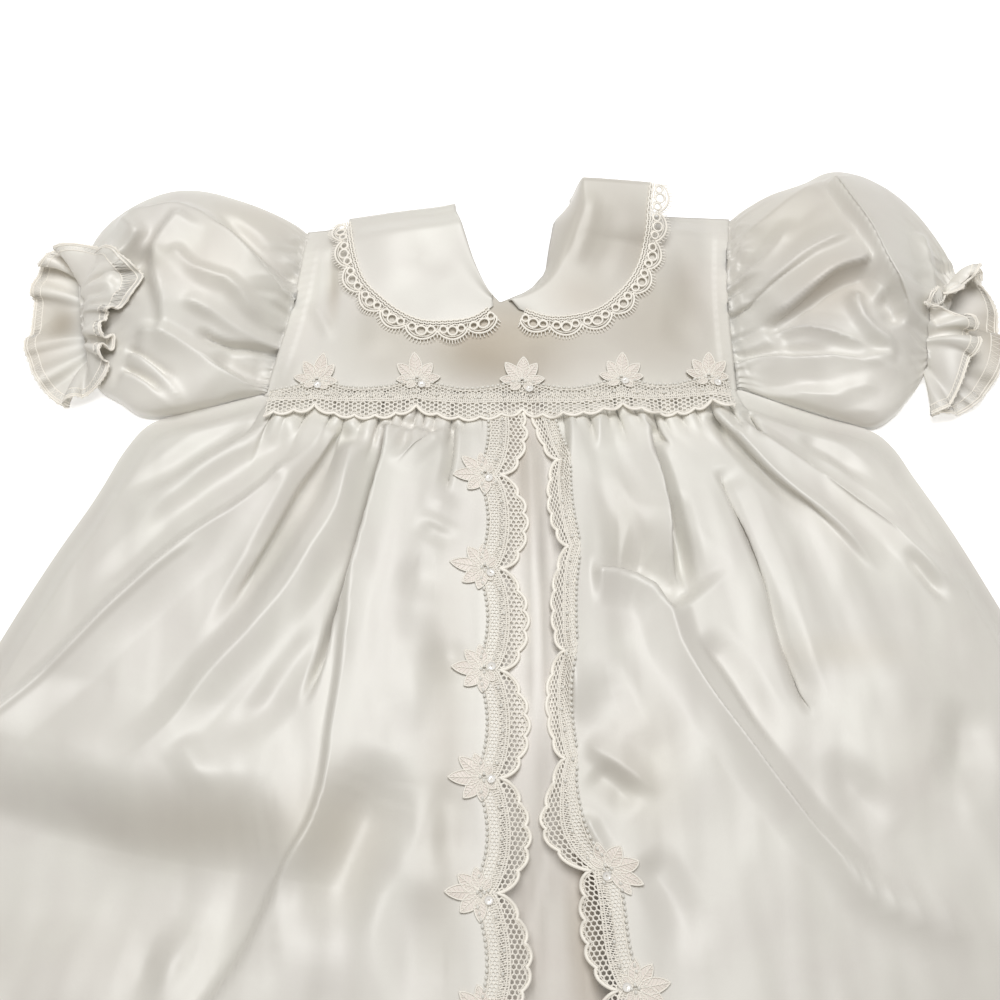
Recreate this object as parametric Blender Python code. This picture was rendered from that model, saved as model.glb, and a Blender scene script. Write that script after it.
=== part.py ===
"""Christening gown, laid on its back with the front up.

Plan axes: +X to the wearer's left, +Y to the neck, -Y to the hem, +Z up from the surface.
The origin is at the middle of the waist seam, on the surface. Sizes below are millimetres,
and the meshes are made in metres.
"""
import math
from collections import namedtuple

import bmesh
import bpy
import numpy as np
from mathutils import Vector
from mathutils.bvhtree import BVHTree

MM = 0.001

# Cloth
WALL = 1.5
FLAT_WALL = 1.2
SEAM_GAP = 0.5
LACE_WALL = 1.2
LACE_LIFT = 0.4
SEAT_REACH = 1.6

# Levels of the layers, bottom faces
SEAM_Z = 1.6
UNDER_BACK_Z = 1.6
UNDER_FRONT_Z = 3.15
OVER_LIFT = 3.3
LAYER_CLEARANCE = 0.7

# Skirt: crown is how far the middle of the front stands above its side seams
CENTRE_X = 12.0
SkirtRow = namedtuple("SkirtRow", "down left_x left_y right_x right_y centre_y crown")
SKIRT_ROWS = [
    SkirtRow(0.00, -118.5, 0.0, 119.0, 3.0, -2.0, 7.0),
    SkirtRow(0.04, -140.0, -6.0, 140.0, -5.0, -16.0, 9.0),
    SkirtRow(0.08, -160.0, -11.0, 162.0, -13.0, -32.0, 12.0),
    SkirtRow(0.12, -175.0, -17.0, 184.0, -20.0, -48.0, 14.0),
    SkirtRow(0.16, -185.0, -30.0, 195.0, -29.0, -66.0, 16.0),
    SkirtRow(0.20, -194.0, -48.0, 203.0, -43.0, -85.0, 18.0),
    SkirtRow(0.28, -214.0, -84.0, 219.0, -72.0, -125.0, 20.0),
    SkirtRow(0.36, -233.0, -122.0, 236.0, -108.0, -168.0, 22.0),
    SkirtRow(0.50, -266.0, -200.0, 272.0, -190.0, -245.0, 22.0),
    SkirtRow(0.65, -304.0, -300.0, 312.0, -295.0, -340.0, 20.0),
    SkirtRow(0.80, -340.0, -405.0, 350.0, -400.0, -450.0, 16.0),
    SkirtRow(1.00, -388.0, -580.0, 400.0, -575.0, -612.0, 9.0),
]
CROWN_POWER = 2.4
ROW_SAG_POWER = 1.6
EDGE_ROLL = 14.0
GATHER_COUNT = 14
GATHER_HEIGHT = 1.2
GATHER_REACH = 0.035
EDGE_STEPS = 26
PanelRow = namedtuple("PanelRow", "down columns")
PANEL_ROWS = [
    PanelRow(0.0, 71), PanelRow(0.012, 71), PanelRow(0.035, 71), PanelRow(0.06, 43),
    PanelRow(0.09, 43), PanelRow(0.13, 27), PanelRow(0.18, 27), PanelRow(0.24, 27),
    PanelRow(0.31, 27), PanelRow(0.38, 27), PanelRow(0.46, 27), PanelRow(0.55, 27),
    PanelRow(0.65, 27), PanelRow(0.76, 27), PanelRow(0.88, 27), PanelRow(1.0, 27),
]
TROUGH_SHARE = 0.3
TROUGH_DEPTH = 2.0

# Underskirt: it reaches this share of the way to the side seams
UNDER_HALF_TOP = 0.80
UNDER_HALF_GAIN = 0.12
UNDER_HALF_FULL = 0.16
UNDER_CROWN_SHARE = 0.7
UNDER_MARGIN = 0.03
UNDER_FROM = 0.012
UNDER_TO = 0.995
UNDER_FRONT_DOWNS = [0.012, 0.05, 0.1, 0.16, 0.22, 0.28, 0.34, 0.4, 0.46, 0.53, 0.62, 0.74, 0.86, 0.995]
UNDER_COLUMNS = [-1.0, -0.7, -0.42, -0.2, -0.1, -0.04, 0.0, 0.04, 0.08, 0.14, 0.22, 0.42, 0.7, 1.0]

# Front edges of the open overskirt, and how far their lace reaches in over the cloth; on the
# right a fold laps over the lace down to below the thigh
FrontEdge = namedtuple("FrontEdge", "y left_x right_x left_lace right_lace")
FRONT_EDGES = [
    FrontEdge(0.0, 1.0, 20.0, 11.0, 1.5),
    FrontEdge(-30.0, 0.0, 26.0, 11.0, 1.5),
    FrontEdge(-60.0, 0.0, 30.0, 11.0, 1.5),
    FrontEdge(-115.0, 0.0, 31.0, 11.0, 1.5),
    FrontEdge(-150.0, 0.0, 28.0, 11.0, 1.5),
    FrontEdge(-170.0, 0.0, 28.5, 11.0, 1.5),
    FrontEdge(-200.0, 0.0, 29.0, 11.0, 11.0),
    FrontEdge(-225.0, 0.0, 34.0, 11.0, 11.0),
    FrontEdge(-240.0, -1.0, 43.0, 11.0, 11.0),
    FrontEdge(-283.0, 1.0, 49.0, 11.0, 11.0),
    FrontEdge(-350.0, -3.0, 58.0, 11.0, 11.0),
    FrontEdge(-450.0, -8.0, 70.0, 11.0, 11.0),
    FrontEdge(-612.0, -16.0, 86.0, 11.0, 11.0),
]
FRONT_LACE_FULL = 11.0

# A fold is walked from its first point to its last; a trough has a negative height
Fold = namedtuple("Fold", "height left_flank right_flank fade_in fade_out points")
LEFT_PANEL_FOLDS = [
    Fold(5.0, 16, 18, 8, 30, [(-107, -9), (-122, -21), (-145, -36), (-166, -54), (-190, -69)]),
    Fold(5.0, 14, 16, 30, 25, [(-102, -38), (-142, -81), (-181, -113), (-226, -161)]),
    Fold(-6.0, 12, 12, 10, 40, [(-81, -22), (-96, -54), (-109, -81), (-125, -113)]),
    Fold(5.0, 16, 14, 30, 50, [(-79, -59), (-100, -108), (-132, -151), (-166, -173)]),
    Fold(-5.0, 7, 12, 10, 40, [(-56, -20), (-66, -84), (-76, -127), (-90, -164)]),
    Fold(6.0, 22, 9, 20, 40, [(-57, -38), (-69, -108), (-75, -169), (-83, -224),
                              (-109, -261), (-140, -310), (-165, -420), (-185, -590)]),
    Fold(-7.0, 20, 16, 30, 30, [(-215, -205), (-153, -220), (-95, -214)]),
    Fold(4.0, 12, 12, 30, 30, [(-224, -176), (-178, -189), (-142, -198), (-95, -200)]),
    Fold(5.0, 14, 12, 20, 20, [(-158, -300), (-150, -272), (-128, -257), (-108, -262)]),
    Fold(6.0, 26, 24, 40, 5, [(-40, -300), (-60, -450), (-75, -620)]),
    Fold(-5.0, 18, 18, 40, 5, [(-110, -330), (-125, -470), (-135, -620)]),
    Fold(-5.0, 16, 18, 40, 5, [(-180, -300), (-215, -430), (-242, -610)]),
    Fold(6.0, 22, 22, 40, 5, [(-215, -260), (-262, -400), (-302, -605)]),
    Fold(5.0, 16, 14, 40, 5, [(-262, -255), (-312, -400), (-352, -600)]),
]
RIGHT_PANEL_FOLDS = [
    Fold(6.0, 24, 6, 8, 25, [(33, -8), (31, -59), (33, -89), (35, -127), (36, -168)]),
    Fold(3.0, 10, 10, 5, 15, [(69, -9), (73, -28), (76, -46)]),
    Fold(-4.0, 8, 10, 15, 20, [(75, -43), (80, -69), (84, -103)]),
    Fold(-5.0, 9, 10, 25, 30, [(106, -46), (116, -74), (127, -123), (137, -169)]),
    Fold(5.0, 16, 14, 10, 40, [(105, -13), (145, -42), (168, -59), (213, -103)]),
    Fold(7.0, 18, 22, 30, 40, [(47, -95), (75, -108), (93, -148), (120, -189), (153, -224),
                               (182, -240), (222, -255), (262, -300)]),
    Fold(-4.0, 14, 14, 20, 20, [(50, -60), (82, -92)]),
    Fold(5.0, 22, 22, 40, 40, [(180, -127), (180, -173), (178, -213)]),
    Fold(-4.0, 14, 14, 20, 25, [(210, -150), (202, -195)]),
    Fold(3.0, 9, 9, 8, 15, [(40, -173), (58, -180), (73, -193)]),
    Fold(-3.0, 12, 12, 15, 20, [(70, -230), (86, -257)]),
    Fold(6.0, 26, 22, 40, 5, [(78, -300), (98, -450), (112, -620)]),
    Fold(-5.0, 18, 18, 40, 5, [(135, -320), (158, -460), (172, -620)]),
    Fold(6.0, 22, 22, 40, 5, [(190, -320), (235, -450), (268, -610)]),
    Fold(-4.0, 16, 16, 40, 5, [(245, -330), (290, -460), (320, -605)]),
    Fold(5.0, 16, 16, 40, 5, [(290, -320), (334, -450), (366, -600)]),
]
UNDERSKIRT_FOLDS = [
    Fold(2.5, 7, 7, 10, 30, [(14, -25), (16, -89), (17, -130), (16, -180)]),
    Fold(-3.0, 9, 9, 30, 30, [(23, -165), (21, -219), (13, -253), (8, -310)]),
    Fold(3.0, 12, 12, 40, 5, [(33, -215), (42, -283), (50, -400), (52, -615)]),
    Fold(2.5, 14, 14, 40, 5, [(0, -300), (6, -420), (10, -615)]),
]

# Bodice: armholes run from the ends of the waist seam to the shoulders
BODICE_CROWN = 10.3
ARMHOLE_BOW = 3.0
SHOULDER_OUTER_LEFT = (-101.0, 95.0)
SHOULDER_OUTER_RIGHT = (121.0, 103.0)
SHOULDER_ROLL = 16.0
ARMHOLE_RISE = 25.0
BODICE_UPS = [0.0, 0.1, 0.2, 0.36, 0.52, 0.68, 0.84, 1.0]
BODICE_LEFT_COLUMNS = [0.0, 0.05, 0.1, 0.16, 0.22, 0.28]
BODICE_RIGHT_COLUMNS = [0.72, 0.78, 0.84, 0.9, 0.95, 1.0]
BACK_UPS = [0.0, 0.15, 0.3, 0.45, 0.6, 0.75, 0.88, 1.0]
BACK_COLUMNS = [0.0, 0.25, 0.5, 0.75, 1.0]
NeckPoint = namedtuple("NeckPoint", "across x y")
NECKLINE = [
    NeckPoint(0.330, -23.5, 104.5),
    NeckPoint(0.365, -18.0, 86.0),
    NeckPoint(0.400, -12.8, 69.0),
    NeckPoint(0.440, -8.2, 58.0),
    NeckPoint(0.500, 0.0, 48.0),
    NeckPoint(0.560, 15.0, 55.0),
    NeckPoint(0.590, 23.0, 65.0),
    NeckPoint(0.615, 25.0, 79.0),
    NeckPoint(0.640, 27.5, 94.0),
    NeckPoint(0.665, 33.0, 107.0),
]
BODICE_FOLDS = [
    Fold(1.4, 6, 6, 10, 10, [(-97, 84), (-96, 46)]),
    Fold(-1.2, 6, 6, 10, 10, [(-88, 86), (-87, 50)]),
    Fold(-1.5, 16, 16, 15, 15, [(-35, 30), (25, 12)]),
    Fold(1.2, 8, 8, 10, 10, [(-62, 48), (-60, 18)]),
    Fold(1.2, 8, 8, 10, 10, [(78, 46), (82, 18)]),
]
BACK_OPENING_LEFT = [(2.0, 0.0), (-5.0, 48.0), (-14.0, 66.0), (-22.0, 84.0), (-27.0, 103.5)]
BACK_OPENING_RIGHT = [(3.2, 0.0), (6.0, 48.0), (21.0, 56.0), (29.0, 79.0), (37.0, 106.5)]

# Collar halves: the left lies flat, the right stands off the shoulder and rolls over
CollarRow = namedtuple("CollarRow", "neck_x neck_y roll_x roll_y roll_z edge_x edge_y edge_z")
COLLAR_RIGHT_ROWS = [
    CollarRow(37.0, 110.0, 43.0, 109.5, 31.0, 78.0, 109.0, 27.0),
    CollarRow(31.0, 102.5, 43.0, 96.0, 29.5, 76.7, 97.0, 23.0),
    CollarRow(27.5, 92.0, 39.5, 84.0, 26.0, 75.5, 84.0, 17.0),
    CollarRow(25.0, 79.0, 35.5, 74.0, 22.5, 71.4, 68.5, 0.0),
    CollarRow(23.0, 66.0, 30.3, 62.9, 20.0, 63.6, 55.5, 0.0),
    CollarRow(18.0, 58.0, 23.5, 55.0, 18.5, 49.0, 42.5, 0.0),
    CollarRow(10.5, 52.5, 14.5, 50.0, 17.0, 27.0, 38.0, 0.0),
    CollarRow(4.2, 49.2, 5.6, 48.2, 16.2, 9.5, 43.5, 0.0),
]
COLLAR_LEFT_NECK = [(-23.4, 104.0), (-18.0, 86.0), (-12.8, 69.2), (-8.2, 58.2), (-4.1, 50.4)]
COLLAR_LEFT_EDGE = [(-79.0, 97.0), (-77.2, 85.7), (-74.6, 72.7), (-68.9, 58.8), (-61.0, 50.2),
                    (-53.2, 43.3), (-40.4, 36.5), (-25.2, 36.0), (-10.1, 39.9), (-3.4, 45.5)]
COLLAR_SHOULDER_LIFT = 6.5
COLLAR_TURNS = [1.0, 0.66, 0.33]
COLLAR_TURN_DEPTH = 6.0
COLLAR_TURN_END_Z = 0.4
COLLAR_ROLL = 2.0
COLLAR_ROLL_WIDTH = 0.12
COLLAR_PUFF = 1.5
COLLAR_FALL_POWER = 1.25
COLLAR_STEPS = 61

# Collar lace: a row of scallops, each with one open loop
SCALLOP_LENGTH = 15.0
LACE_BAND = 8.5
SCALLOP_DEPTH = 3.5
LOOP_ALONG = 0.18
LOOP_ACROSS = 0.21
COLLAR_LACE_GAP = 0.9
LACE_FALL = 0.12
COLLAR_EDGE_RISE = 3.5

# Sleeves: the two ends of each flattened section in plan, its height and its bow to the body
SleeveRow = namedtuple("SleeveRow", "top_x top_y low_x low_y height bow")
SLEEVE_LEFT_ROWS = [
    SleeveRow(-101.6, 95.0, -119.3, 2.0, 10.5, 3.0),
    SleeveRow(-108.0, 99.5, -125.0, 0.2, 18.0, 2.0),
    SleeveRow(-120.0, 104.5, -135.0, -2.4, 26.0, 0.0),
    SleeveRow(-138.0, 110.5, -149.0, -6.4, 33.0, 0.0),
    SleeveRow(-158.0, 115.5, -165.0, -10.4, 36.0, 0.0),
    SleeveRow(-176.0, 114.0, -179.0, -10.0, 35.0, 0.0),
    SleeveRow(-194.0, 105.0, -191.0, -2.5, 31.0, 0.0),
    SleeveRow(-208.0, 92.0, -200.0, 3.0, 25.0, 0.0),
    SleeveRow(-214.5, 77.0, -205.5, 10.0, 18.0, 0.0),
    SleeveRow(-216.5, 65.0, -208.5, 20.0, 13.0, 0.0),
]
SLEEVE_RIGHT_ROWS = [
    SleeveRow(121.8, 103.0, 121.4, 5.0, 10.5, 3.0),
    SleeveRow(129.0, 108.5, 128.0, 2.2, 18.0, 2.0),
    SleeveRow(142.0, 115.0, 141.0, -3.0, 26.0, 0.0),
    SleeveRow(158.0, 119.5, 156.0, -8.4, 33.0, 0.0),
    SleeveRow(172.0, 126.5, 172.0, -13.6, 37.0, 0.0),
    SleeveRow(186.0, 125.5, 186.0, -16.6, 37.0, 0.0),
    SleeveRow(203.0, 116.0, 197.0, -10.0, 33.0, 0.0),
    SleeveRow(218.0, 102.0, 204.0, -2.0, 27.0, 0.0),
    SleeveRow(230.0, 83.0, 209.0, 4.0, 20.0, 0.0),
    SleeveRow(236.5, 66.0, 214.0, 12.0, 14.0, 0.0),
]
CUFF_LEFT_ROWS = [
    SleeveRow(-217.0, 65.0, -209.0, 20.0, 13.0, 0.0),
    SleeveRow(-225.0, 73.0, -214.0, 1.0, 17.0, 0.0),
    SleeveRow(-236.0, 74.0, -224.0, 0.5, 20.0, 0.0),
    SleeveRow(-241.5, 66.0, -233.0, 15.0, 17.0, 0.0),
]
CUFF_RIGHT_ROWS = [
    SleeveRow(237.0, 66.0, 214.5, 11.8, 14.0, 0.0),
    SleeveRow(244.0, 62.0, 214.0, -4.0, 18.0, 0.0),
    SleeveRow(251.0, 55.0, 223.0, -12.0, 20.0, 0.0),
    SleeveRow(255.5, 43.0, 237.0, -4.0, 17.0, 0.0),
]
SLEEVE_GATHERS = 8
SLEEVE_GATHER_HEIGHT = 1.5
SLEEVE_GATHER_SHARES = [1.0, 0.7, 0.4, 0.15, 0.0, 0.0, 0.0, 0.0, 0.4, 0.8]
CUFF_WAVES = 8
CUFF_WAVE_HEIGHT = 2.4
CUFF_WAVE_SHARES = [0.3, 0.6, 1.0, 1.0]
CUFF_LACE_LIFT = 0.8
DOME_POWER = 0.7
FLAT_STEPS = 6
DOME_STEPS = 32
SLEEVE_LEFT_FOLDS = [
    Fold(4.0, 12, 14, 15, 15, [(-157, 92), (-171, 70), (-170, 53), (-167, 28)]),
    Fold(3.0, 9, 9, 15, 15, [(-179, 28), (-146, 17), (-110, 11)]),
    Fold(-3.0, 8, 8, 12, 12, [(-148, 33), (-106, 28)]),
    Fold(2.5, 8, 8, 12, 12, [(-158, 70), (-142, 58), (-123, 39)]),
    Fold(-5.0, 11, 11, 10, 10, [(-192, 78), (-174, 52)]),
    Fold(2.5, 8, 8, 15, 15, [(-196, 92), (-163, 95), (-126, 73), (-104, 66)]),
]
SLEEVE_RIGHT_FOLDS = [
    Fold(4.0, 14, 10, 15, 15, [(169, 116), (178, 99), (188, 67), (195, 41), (204, 28)]),
    Fold(2.5, 8, 8, 12, 12, [(124, 61), (134, 88), (153, 106)]),
    Fold(-4.0, 9, 9, 15, 15, [(138, 36), (164, 55), (185, 59), (198, 41)]),
    Fold(3.0, 9, 9, 15, 15, [(124, 17), (146, 17), (195, 14)]),
    Fold(2.5, 8, 8, 12, 12, [(146, 70), (171, 77)]),
]

# Lace of the waist and the front edges
LACE_REPEAT = 48.0
FRONT_LACE_FROM = -21.0
FRONT_LACE_TO = -608.0
FRONT_LACE_STEPS = 6
FRONT_LACE_SCALLOP = 11.0
SCALLOP_POWER = 0.6
LACE_SEAT_REACH = 3.0
FLOWER_REACH = 13.0
FLOWER_HALF = 12.0
LEFT_FLOWER_Y = -49.0
RIGHT_FLOWER_Y = -41.0
WAIST_FLOWERS_X = [-91.0, -41.0, 11.0, 60.0, 104.0]
WAIST_LACE_FROM = -115.0
WAIST_LACE_TO = 117.0
WAIST_LACE_STEP = 4.5
WAIST_LACE_TOP = 4.0
WAIST_LACE_SLACK = 0.4
WAIST_LACE_LOW = -11.0
WAIST_SCALLOP_DEPTH = 5.0
WAIST_FLOWER_RISE = 19.0
WAIST_FLOWER_HALF = 12.5
WAIST_REPEAT = 50.0
WAIST_END = 12.0

# Colours and roughness of the plain materials
SATIN_IVORY = (0.74, 0.71, 0.64)
SATIN_ROUGHNESS = 0.4
LACE_IVORY = (0.80, 0.77, 0.70)
LACE_ROUGHNESS = 0.7
LINING_IVORY = (0.68, 0.65, 0.58)
LINING_ROUGHNESS = 0.5


# Curves and heights

def smooth_step(q):
    q = np.clip(q, 0.0, 1.0)
    return q * q * (3.0 - 2.0 * q)


def curve_at(t, knots, values):
    """Smooth curve through a short table of values; t may be an array."""
    t = np.asarray(t, float)
    knots = np.asarray(knots, float)
    values = np.asarray(values, float)
    slope = np.gradient(values, knots)
    i = np.clip(np.searchsorted(knots, t) - 1, 0, len(knots) - 2)
    step = knots[i + 1] - knots[i]
    q = np.clip((t - knots[i]) / step, 0.0, 1.0)
    return (values[i] * (1 - q) ** 2 * (1 + 2 * q) + values[i + 1] * q ** 2 * (3 - 2 * q)
            + slope[i] * step * q * (1 - q) ** 2 - slope[i + 1] * step * q ** 2 * (1 - q))


def table_at(rows, key, column, t):
    """Column of a table of named rows, read at t on the key column."""
    pairs = sorted((getattr(row, key), getattr(row, column)) for row in rows)
    return curve_at(t, [p[0] for p in pairs], [p[1] for p in pairs])


def along_points(points, q):
    """Points at fractions q of the length of a polyline, as an (n, 2) array."""
    points = np.asarray(points, float)
    run = np.concatenate([[0.0], np.cumsum(np.hypot(*np.diff(points, axis=0).T))])
    knots = run / run[-1]
    return np.stack([curve_at(q, knots, points[:, k]) for k in (0, 1)], axis=-1)


def line_distance(x, y, points):
    """Distance to a polyline, the side it lies on (+1 is the left) and the length walked."""
    best = np.full(np.shape(x), 1e9)
    side = np.ones(np.shape(x))
    walked = np.zeros(np.shape(x))
    start = 0.0
    for (ax, ay), (bx, by) in zip(points[:-1], points[1:]):
        length = math.hypot(bx - ax, by - ay)
        ux, uy = (bx - ax) / length, (by - ay) / length
        along = np.clip((x - ax) * ux + (y - ay) * uy, 0.0, length)
        away = np.hypot(x - ax - along * ux, y - ay - along * uy)
        nearer = away < best
        cross = ux * (y - ay) - uy * (x - ax)
        side = np.where(nearer, np.where(cross >= 0, 1.0, -1.0), side)
        walked = np.where(nearer, start + along, walked)
        best = np.minimum(best, away)
        start += length
    return best, side, walked, start


def fold_height(x, y, folds):
    """Sum of the ridges and troughs of a table at the plan points x, y."""
    x, y = np.broadcast_arrays(np.asarray(x, float), np.asarray(y, float))
    total = np.zeros(x.shape)
    for fold in folds:
        away, side, walked, length = line_distance(x, y, fold.points)
        reach = np.where(side > 0, fold.left_flank, fold.right_flank)
        profile = (1.0 - smooth_step(away / reach))
        fade = smooth_step(walked / fold.fade_in) * smooth_step((length - walked) / fold.fade_out)
        total = total + fold.height * profile * fade
    return total


# Skirt surface: across runs from -1 at the left side seam to 1 at the right, down from 0 to 1

def skirt_value(column, down):
    return table_at(SKIRT_ROWS, "down", column, down)


def skirt_point(across, down):
    side_x = np.where(across < 0, skirt_value("left_x", down), skirt_value("right_x", down))
    side_y = np.where(across < 0, skirt_value("left_y", down), skirt_value("right_y", down))
    centre_y = skirt_value("centre_y", down)
    share = np.abs(across)
    x = CENTRE_X + share * (side_x - CENTRE_X)
    y = centre_y + (side_y - centre_y) * share ** ROW_SAG_POWER
    return x, y


def across_at(x, down):
    """Where the plan x lies across the skirt, on the row at down."""
    left = (x - CENTRE_X) / (CENTRE_X - skirt_value("left_x", down))
    right = (x - CENTRE_X) / (skirt_value("right_x", down) - CENTRE_X)
    return np.where(x < CENTRE_X, left, right)


def front_edge_value(column, down):
    return table_at(FRONT_EDGES, "y", column, skirt_value("centre_y", down))


def front_edge_x(side, down):
    return front_edge_value("left_x" if side < 0 else "right_x", down)


def skirt_edge_roll(x, y):
    """0 on the side seams, 1 where the front has risen to its full height."""
    roll = np.ones(np.shape(x))
    for side in (-1.0, 1.0):
        downs = np.linspace(0.0, 1.0, EDGE_STEPS)
        outline = list(zip(*skirt_point(side * np.ones(EDGE_STEPS), downs)))
        away = line_distance(x, y, outline)[0]
        roll = np.minimum(roll, smooth_step(away / EDGE_ROLL))
    return roll


def crown(across, down):
    return skirt_value("crown", down) * (1.0 - np.abs(across) ** CROWN_POWER)


def under_half(down):
    """How far across the underskirt reaches, short of the overskirt's side seams."""
    return UNDER_HALF_TOP + UNDER_HALF_GAIN * smooth_step(down / UNDER_HALF_FULL)


def under_bottom(across, down):
    x, y = skirt_point(across, down)
    lift = UNDER_CROWN_SHARE * crown(across, down) + fold_height(x, y, UNDERSKIRT_FOLDS)
    return UNDER_FRONT_Z + skirt_edge_roll(x, y) * lift


def over_bottom(across, down):
    x, y = skirt_point(across, down)
    rise = crown(across, down)
    gathers = GATHER_HEIGHT * np.exp(-down / GATHER_REACH)
    gathers = gathers * np.cos(2 * math.pi * GATHER_COUNT * np.abs(across))
    folds = fold_height(x, y, LEFT_PANEL_FOLDS) + fold_height(x, y, RIGHT_PANEL_FOLDS)
    folds = np.maximum(folds, -TROUGH_SHARE * rise - TROUGH_DEPTH)
    height = SEAM_Z + skirt_edge_roll(x, y) * (OVER_LIFT + rise + gathers + folds)
    covered = np.abs(across) < under_half(down) + UNDER_MARGIN
    clear = under_bottom(across, down) + FLAT_WALL + LAYER_CLEARANCE
    return np.where(covered, np.maximum(height, clear), height)


# Bodice surface

def waist_y(x):
    return skirt_point(across_at(x, 0.0), np.zeros(np.shape(x)))[1]


def armhole_x(side, y):
    row = SKIRT_ROWS[0]
    low_x, low_y = (row.left_x, row.left_y) if side < 0 else (row.right_x, row.right_y)
    top_x, top_y = SHOULDER_OUTER_LEFT if side < 0 else SHOULDER_OUTER_RIGHT
    q = np.clip((y - low_y) / (top_y - low_y), 0.0, 1.0)
    return low_x + (top_x - low_x) * q - side * ARMHOLE_BOW * np.sin(math.pi * q)


def shoulder_y(x):
    knots = [SHOULDER_OUTER_LEFT[0], NECKLINE[0].x, NECKLINE[-1].x, SHOULDER_OUTER_RIGHT[0]]
    return np.interp(x, knots, [SHOULDER_OUTER_LEFT[1], NECKLINE[0].y + 1, NECKLINE[-1].y + 2,
                                SHOULDER_OUTER_RIGHT[1]])


def bodice_bottom(x, y):
    left, right = armhole_x(-1, y), armhole_x(1, y)
    half = 0.5 * (right - left)
    share = np.clip(np.abs(x - 0.5 * (left + right)) / half, 0.0, 1.0)
    side_seam = smooth_step((1.0 - share) * half / EDGE_ROLL)
    armhole = smooth_step(y / ARMHOLE_RISE)
    edge = side_seam + (1.0 - side_seam) * armhole
    shoulder = smooth_step((shoulder_y(x) - y) / SHOULDER_ROLL)
    rise = OVER_LIFT + (BODICE_CROWN - OVER_LIFT) * (1.0 - share ** CROWN_POWER)
    return SEAM_Z + edge * shoulder * (rise + fold_height(x, y, BODICE_FOLDS))


def bodice_top(x, y):
    return bodice_bottom(x, y) + WALL


# Solids

def principled(name, colour, roughness):
    material = bpy.data.materials.new(name)
    material.use_nodes = True
    shader = material.node_tree.nodes["Principled BSDF"]
    shader.inputs["Base Color"].default_value = (*colour, 1.0)
    shader.inputs["Roughness"].default_value = roughness
    shader.inputs["Metallic"].default_value = 0.0
    return material


def make_solid(name, points, faces, material):
    """One closed mesh object from points in millimetres."""
    shape = bmesh.new()
    verts = [shape.verts.new([MM * float(c) for c in point]) for point in points]
    for face in faces:
        shape.faces.new([verts[i] for i in face])
    bmesh.ops.recalc_face_normals(shape, faces=shape.faces)
    mesh = bpy.data.meshes.new(name)
    shape.to_mesh(mesh)
    shape.free()
    mesh.materials.append(material)
    mesh.shade_smooth()
    mesh.set_sharp_from_angle(angle=math.radians(50))
    solid = bpy.data.objects.new(name, mesh)
    bpy.context.scene.collection.objects.link(solid)
    return solid


def strip(first, second):
    """Triangles between two rows of point numbers, which may differ in count."""
    faces = []
    i = j = 0
    while i < len(first) - 1 or j < len(second) - 1:
        next_i = (i + 1) / (len(first) - 1) if i < len(first) - 1 else 2.0
        next_j = (j + 1) / (len(second) - 1) if j < len(second) - 1 else 2.0
        if next_i <= next_j:
            faces.append((first[i], first[i + 1], second[j]))
            i += 1
        else:
            faces.append((first[i], second[j + 1], second[j]))
            j += 1
    return faces


def cloth_wall(name, low_rows, high_rows, material):
    """Closed sheet of cloth between its lower and upper points, given in matching rows."""
    points = []
    low, high = [], []
    for rows, numbers in ((low_rows, low), (high_rows, high)):
        for row in rows:
            numbers.append(list(range(len(points), len(points) + len(row))))
            points.extend(row)
    faces = []
    for rows in (low, high):
        for first, second in zip(rows[:-1], rows[1:]):
            faces.extend(strip(first, second))
    rims = [(low[0], high[0]), (low[-1], high[-1])]
    for end in (0, -1):
        rims.append(([row[end] for row in low], [row[end] for row in high]))
    for below, above in rims:
        for k in range(len(below) - 1):
            faces.append((below[k], below[k + 1], above[k + 1], above[k]))
    return make_solid(name, points, faces, material)


def raised(rows, wall):
    return [[(x, y, z + wall) for x, y, z in row] for row in rows]


def wall_by_normals(low_rows, wall):
    """Upper points of a steep sheet, moved out square to its surface."""
    grid = np.array(low_rows)
    along = np.gradient(grid, axis=1)
    down = np.gradient(grid, axis=0)
    normal = np.cross(along, down)
    normal /= np.linalg.norm(normal, axis=2, keepdims=True)
    normal *= np.where(normal[:, :, 2:3] < 0, -1.0, 1.0)
    return [[tuple(p) for p in row] for row in grid + wall * normal]


def seat_on(solids, reach_x=SEAT_REACH, reach_y=SEAT_REACH):
    """Height at which a piece lies clear on the upper faces of solids already built."""
    steps = (-1.0, -0.66, -0.33, 0.0, 0.33, 0.66, 1.0)
    probes = [(reach_x * a, reach_y * b) for a in steps for b in steps]
    trees = []
    for solid in solids:
        corners = [v.co for v in solid.data.vertices]
        trees.append(BVHTree.FromPolygons(corners, [p.vertices for p in solid.data.polygons]))
    down = Vector((0.0, 0.0, -1.0))

    def seat(x, y, smooth_height):
        best = smooth_height
        for tree in trees:
            for step_x, step_y in probes:
                start = Vector((MM * (x + step_x), MM * (y + step_y), 0.2))
                hit = tree.ray_cast(start, down)[0]
                if hit is not None:
                    best = max(best, hit.z / MM)
        return best + LACE_LIFT

    def seats(x, y, smooth_height):
        x, y, smooth_height = np.broadcast_arrays(x, y, smooth_height)
        return np.array([seat(*values) for values in zip(x, y, smooth_height)])
    return seats


def stack(x, y, z):
    """One row of points from arrays that may be plain numbers."""
    x, y, z = np.broadcast_arrays(x, y, z)
    return list(zip(x.tolist(), y.tolist(), z.tolist()))


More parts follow.
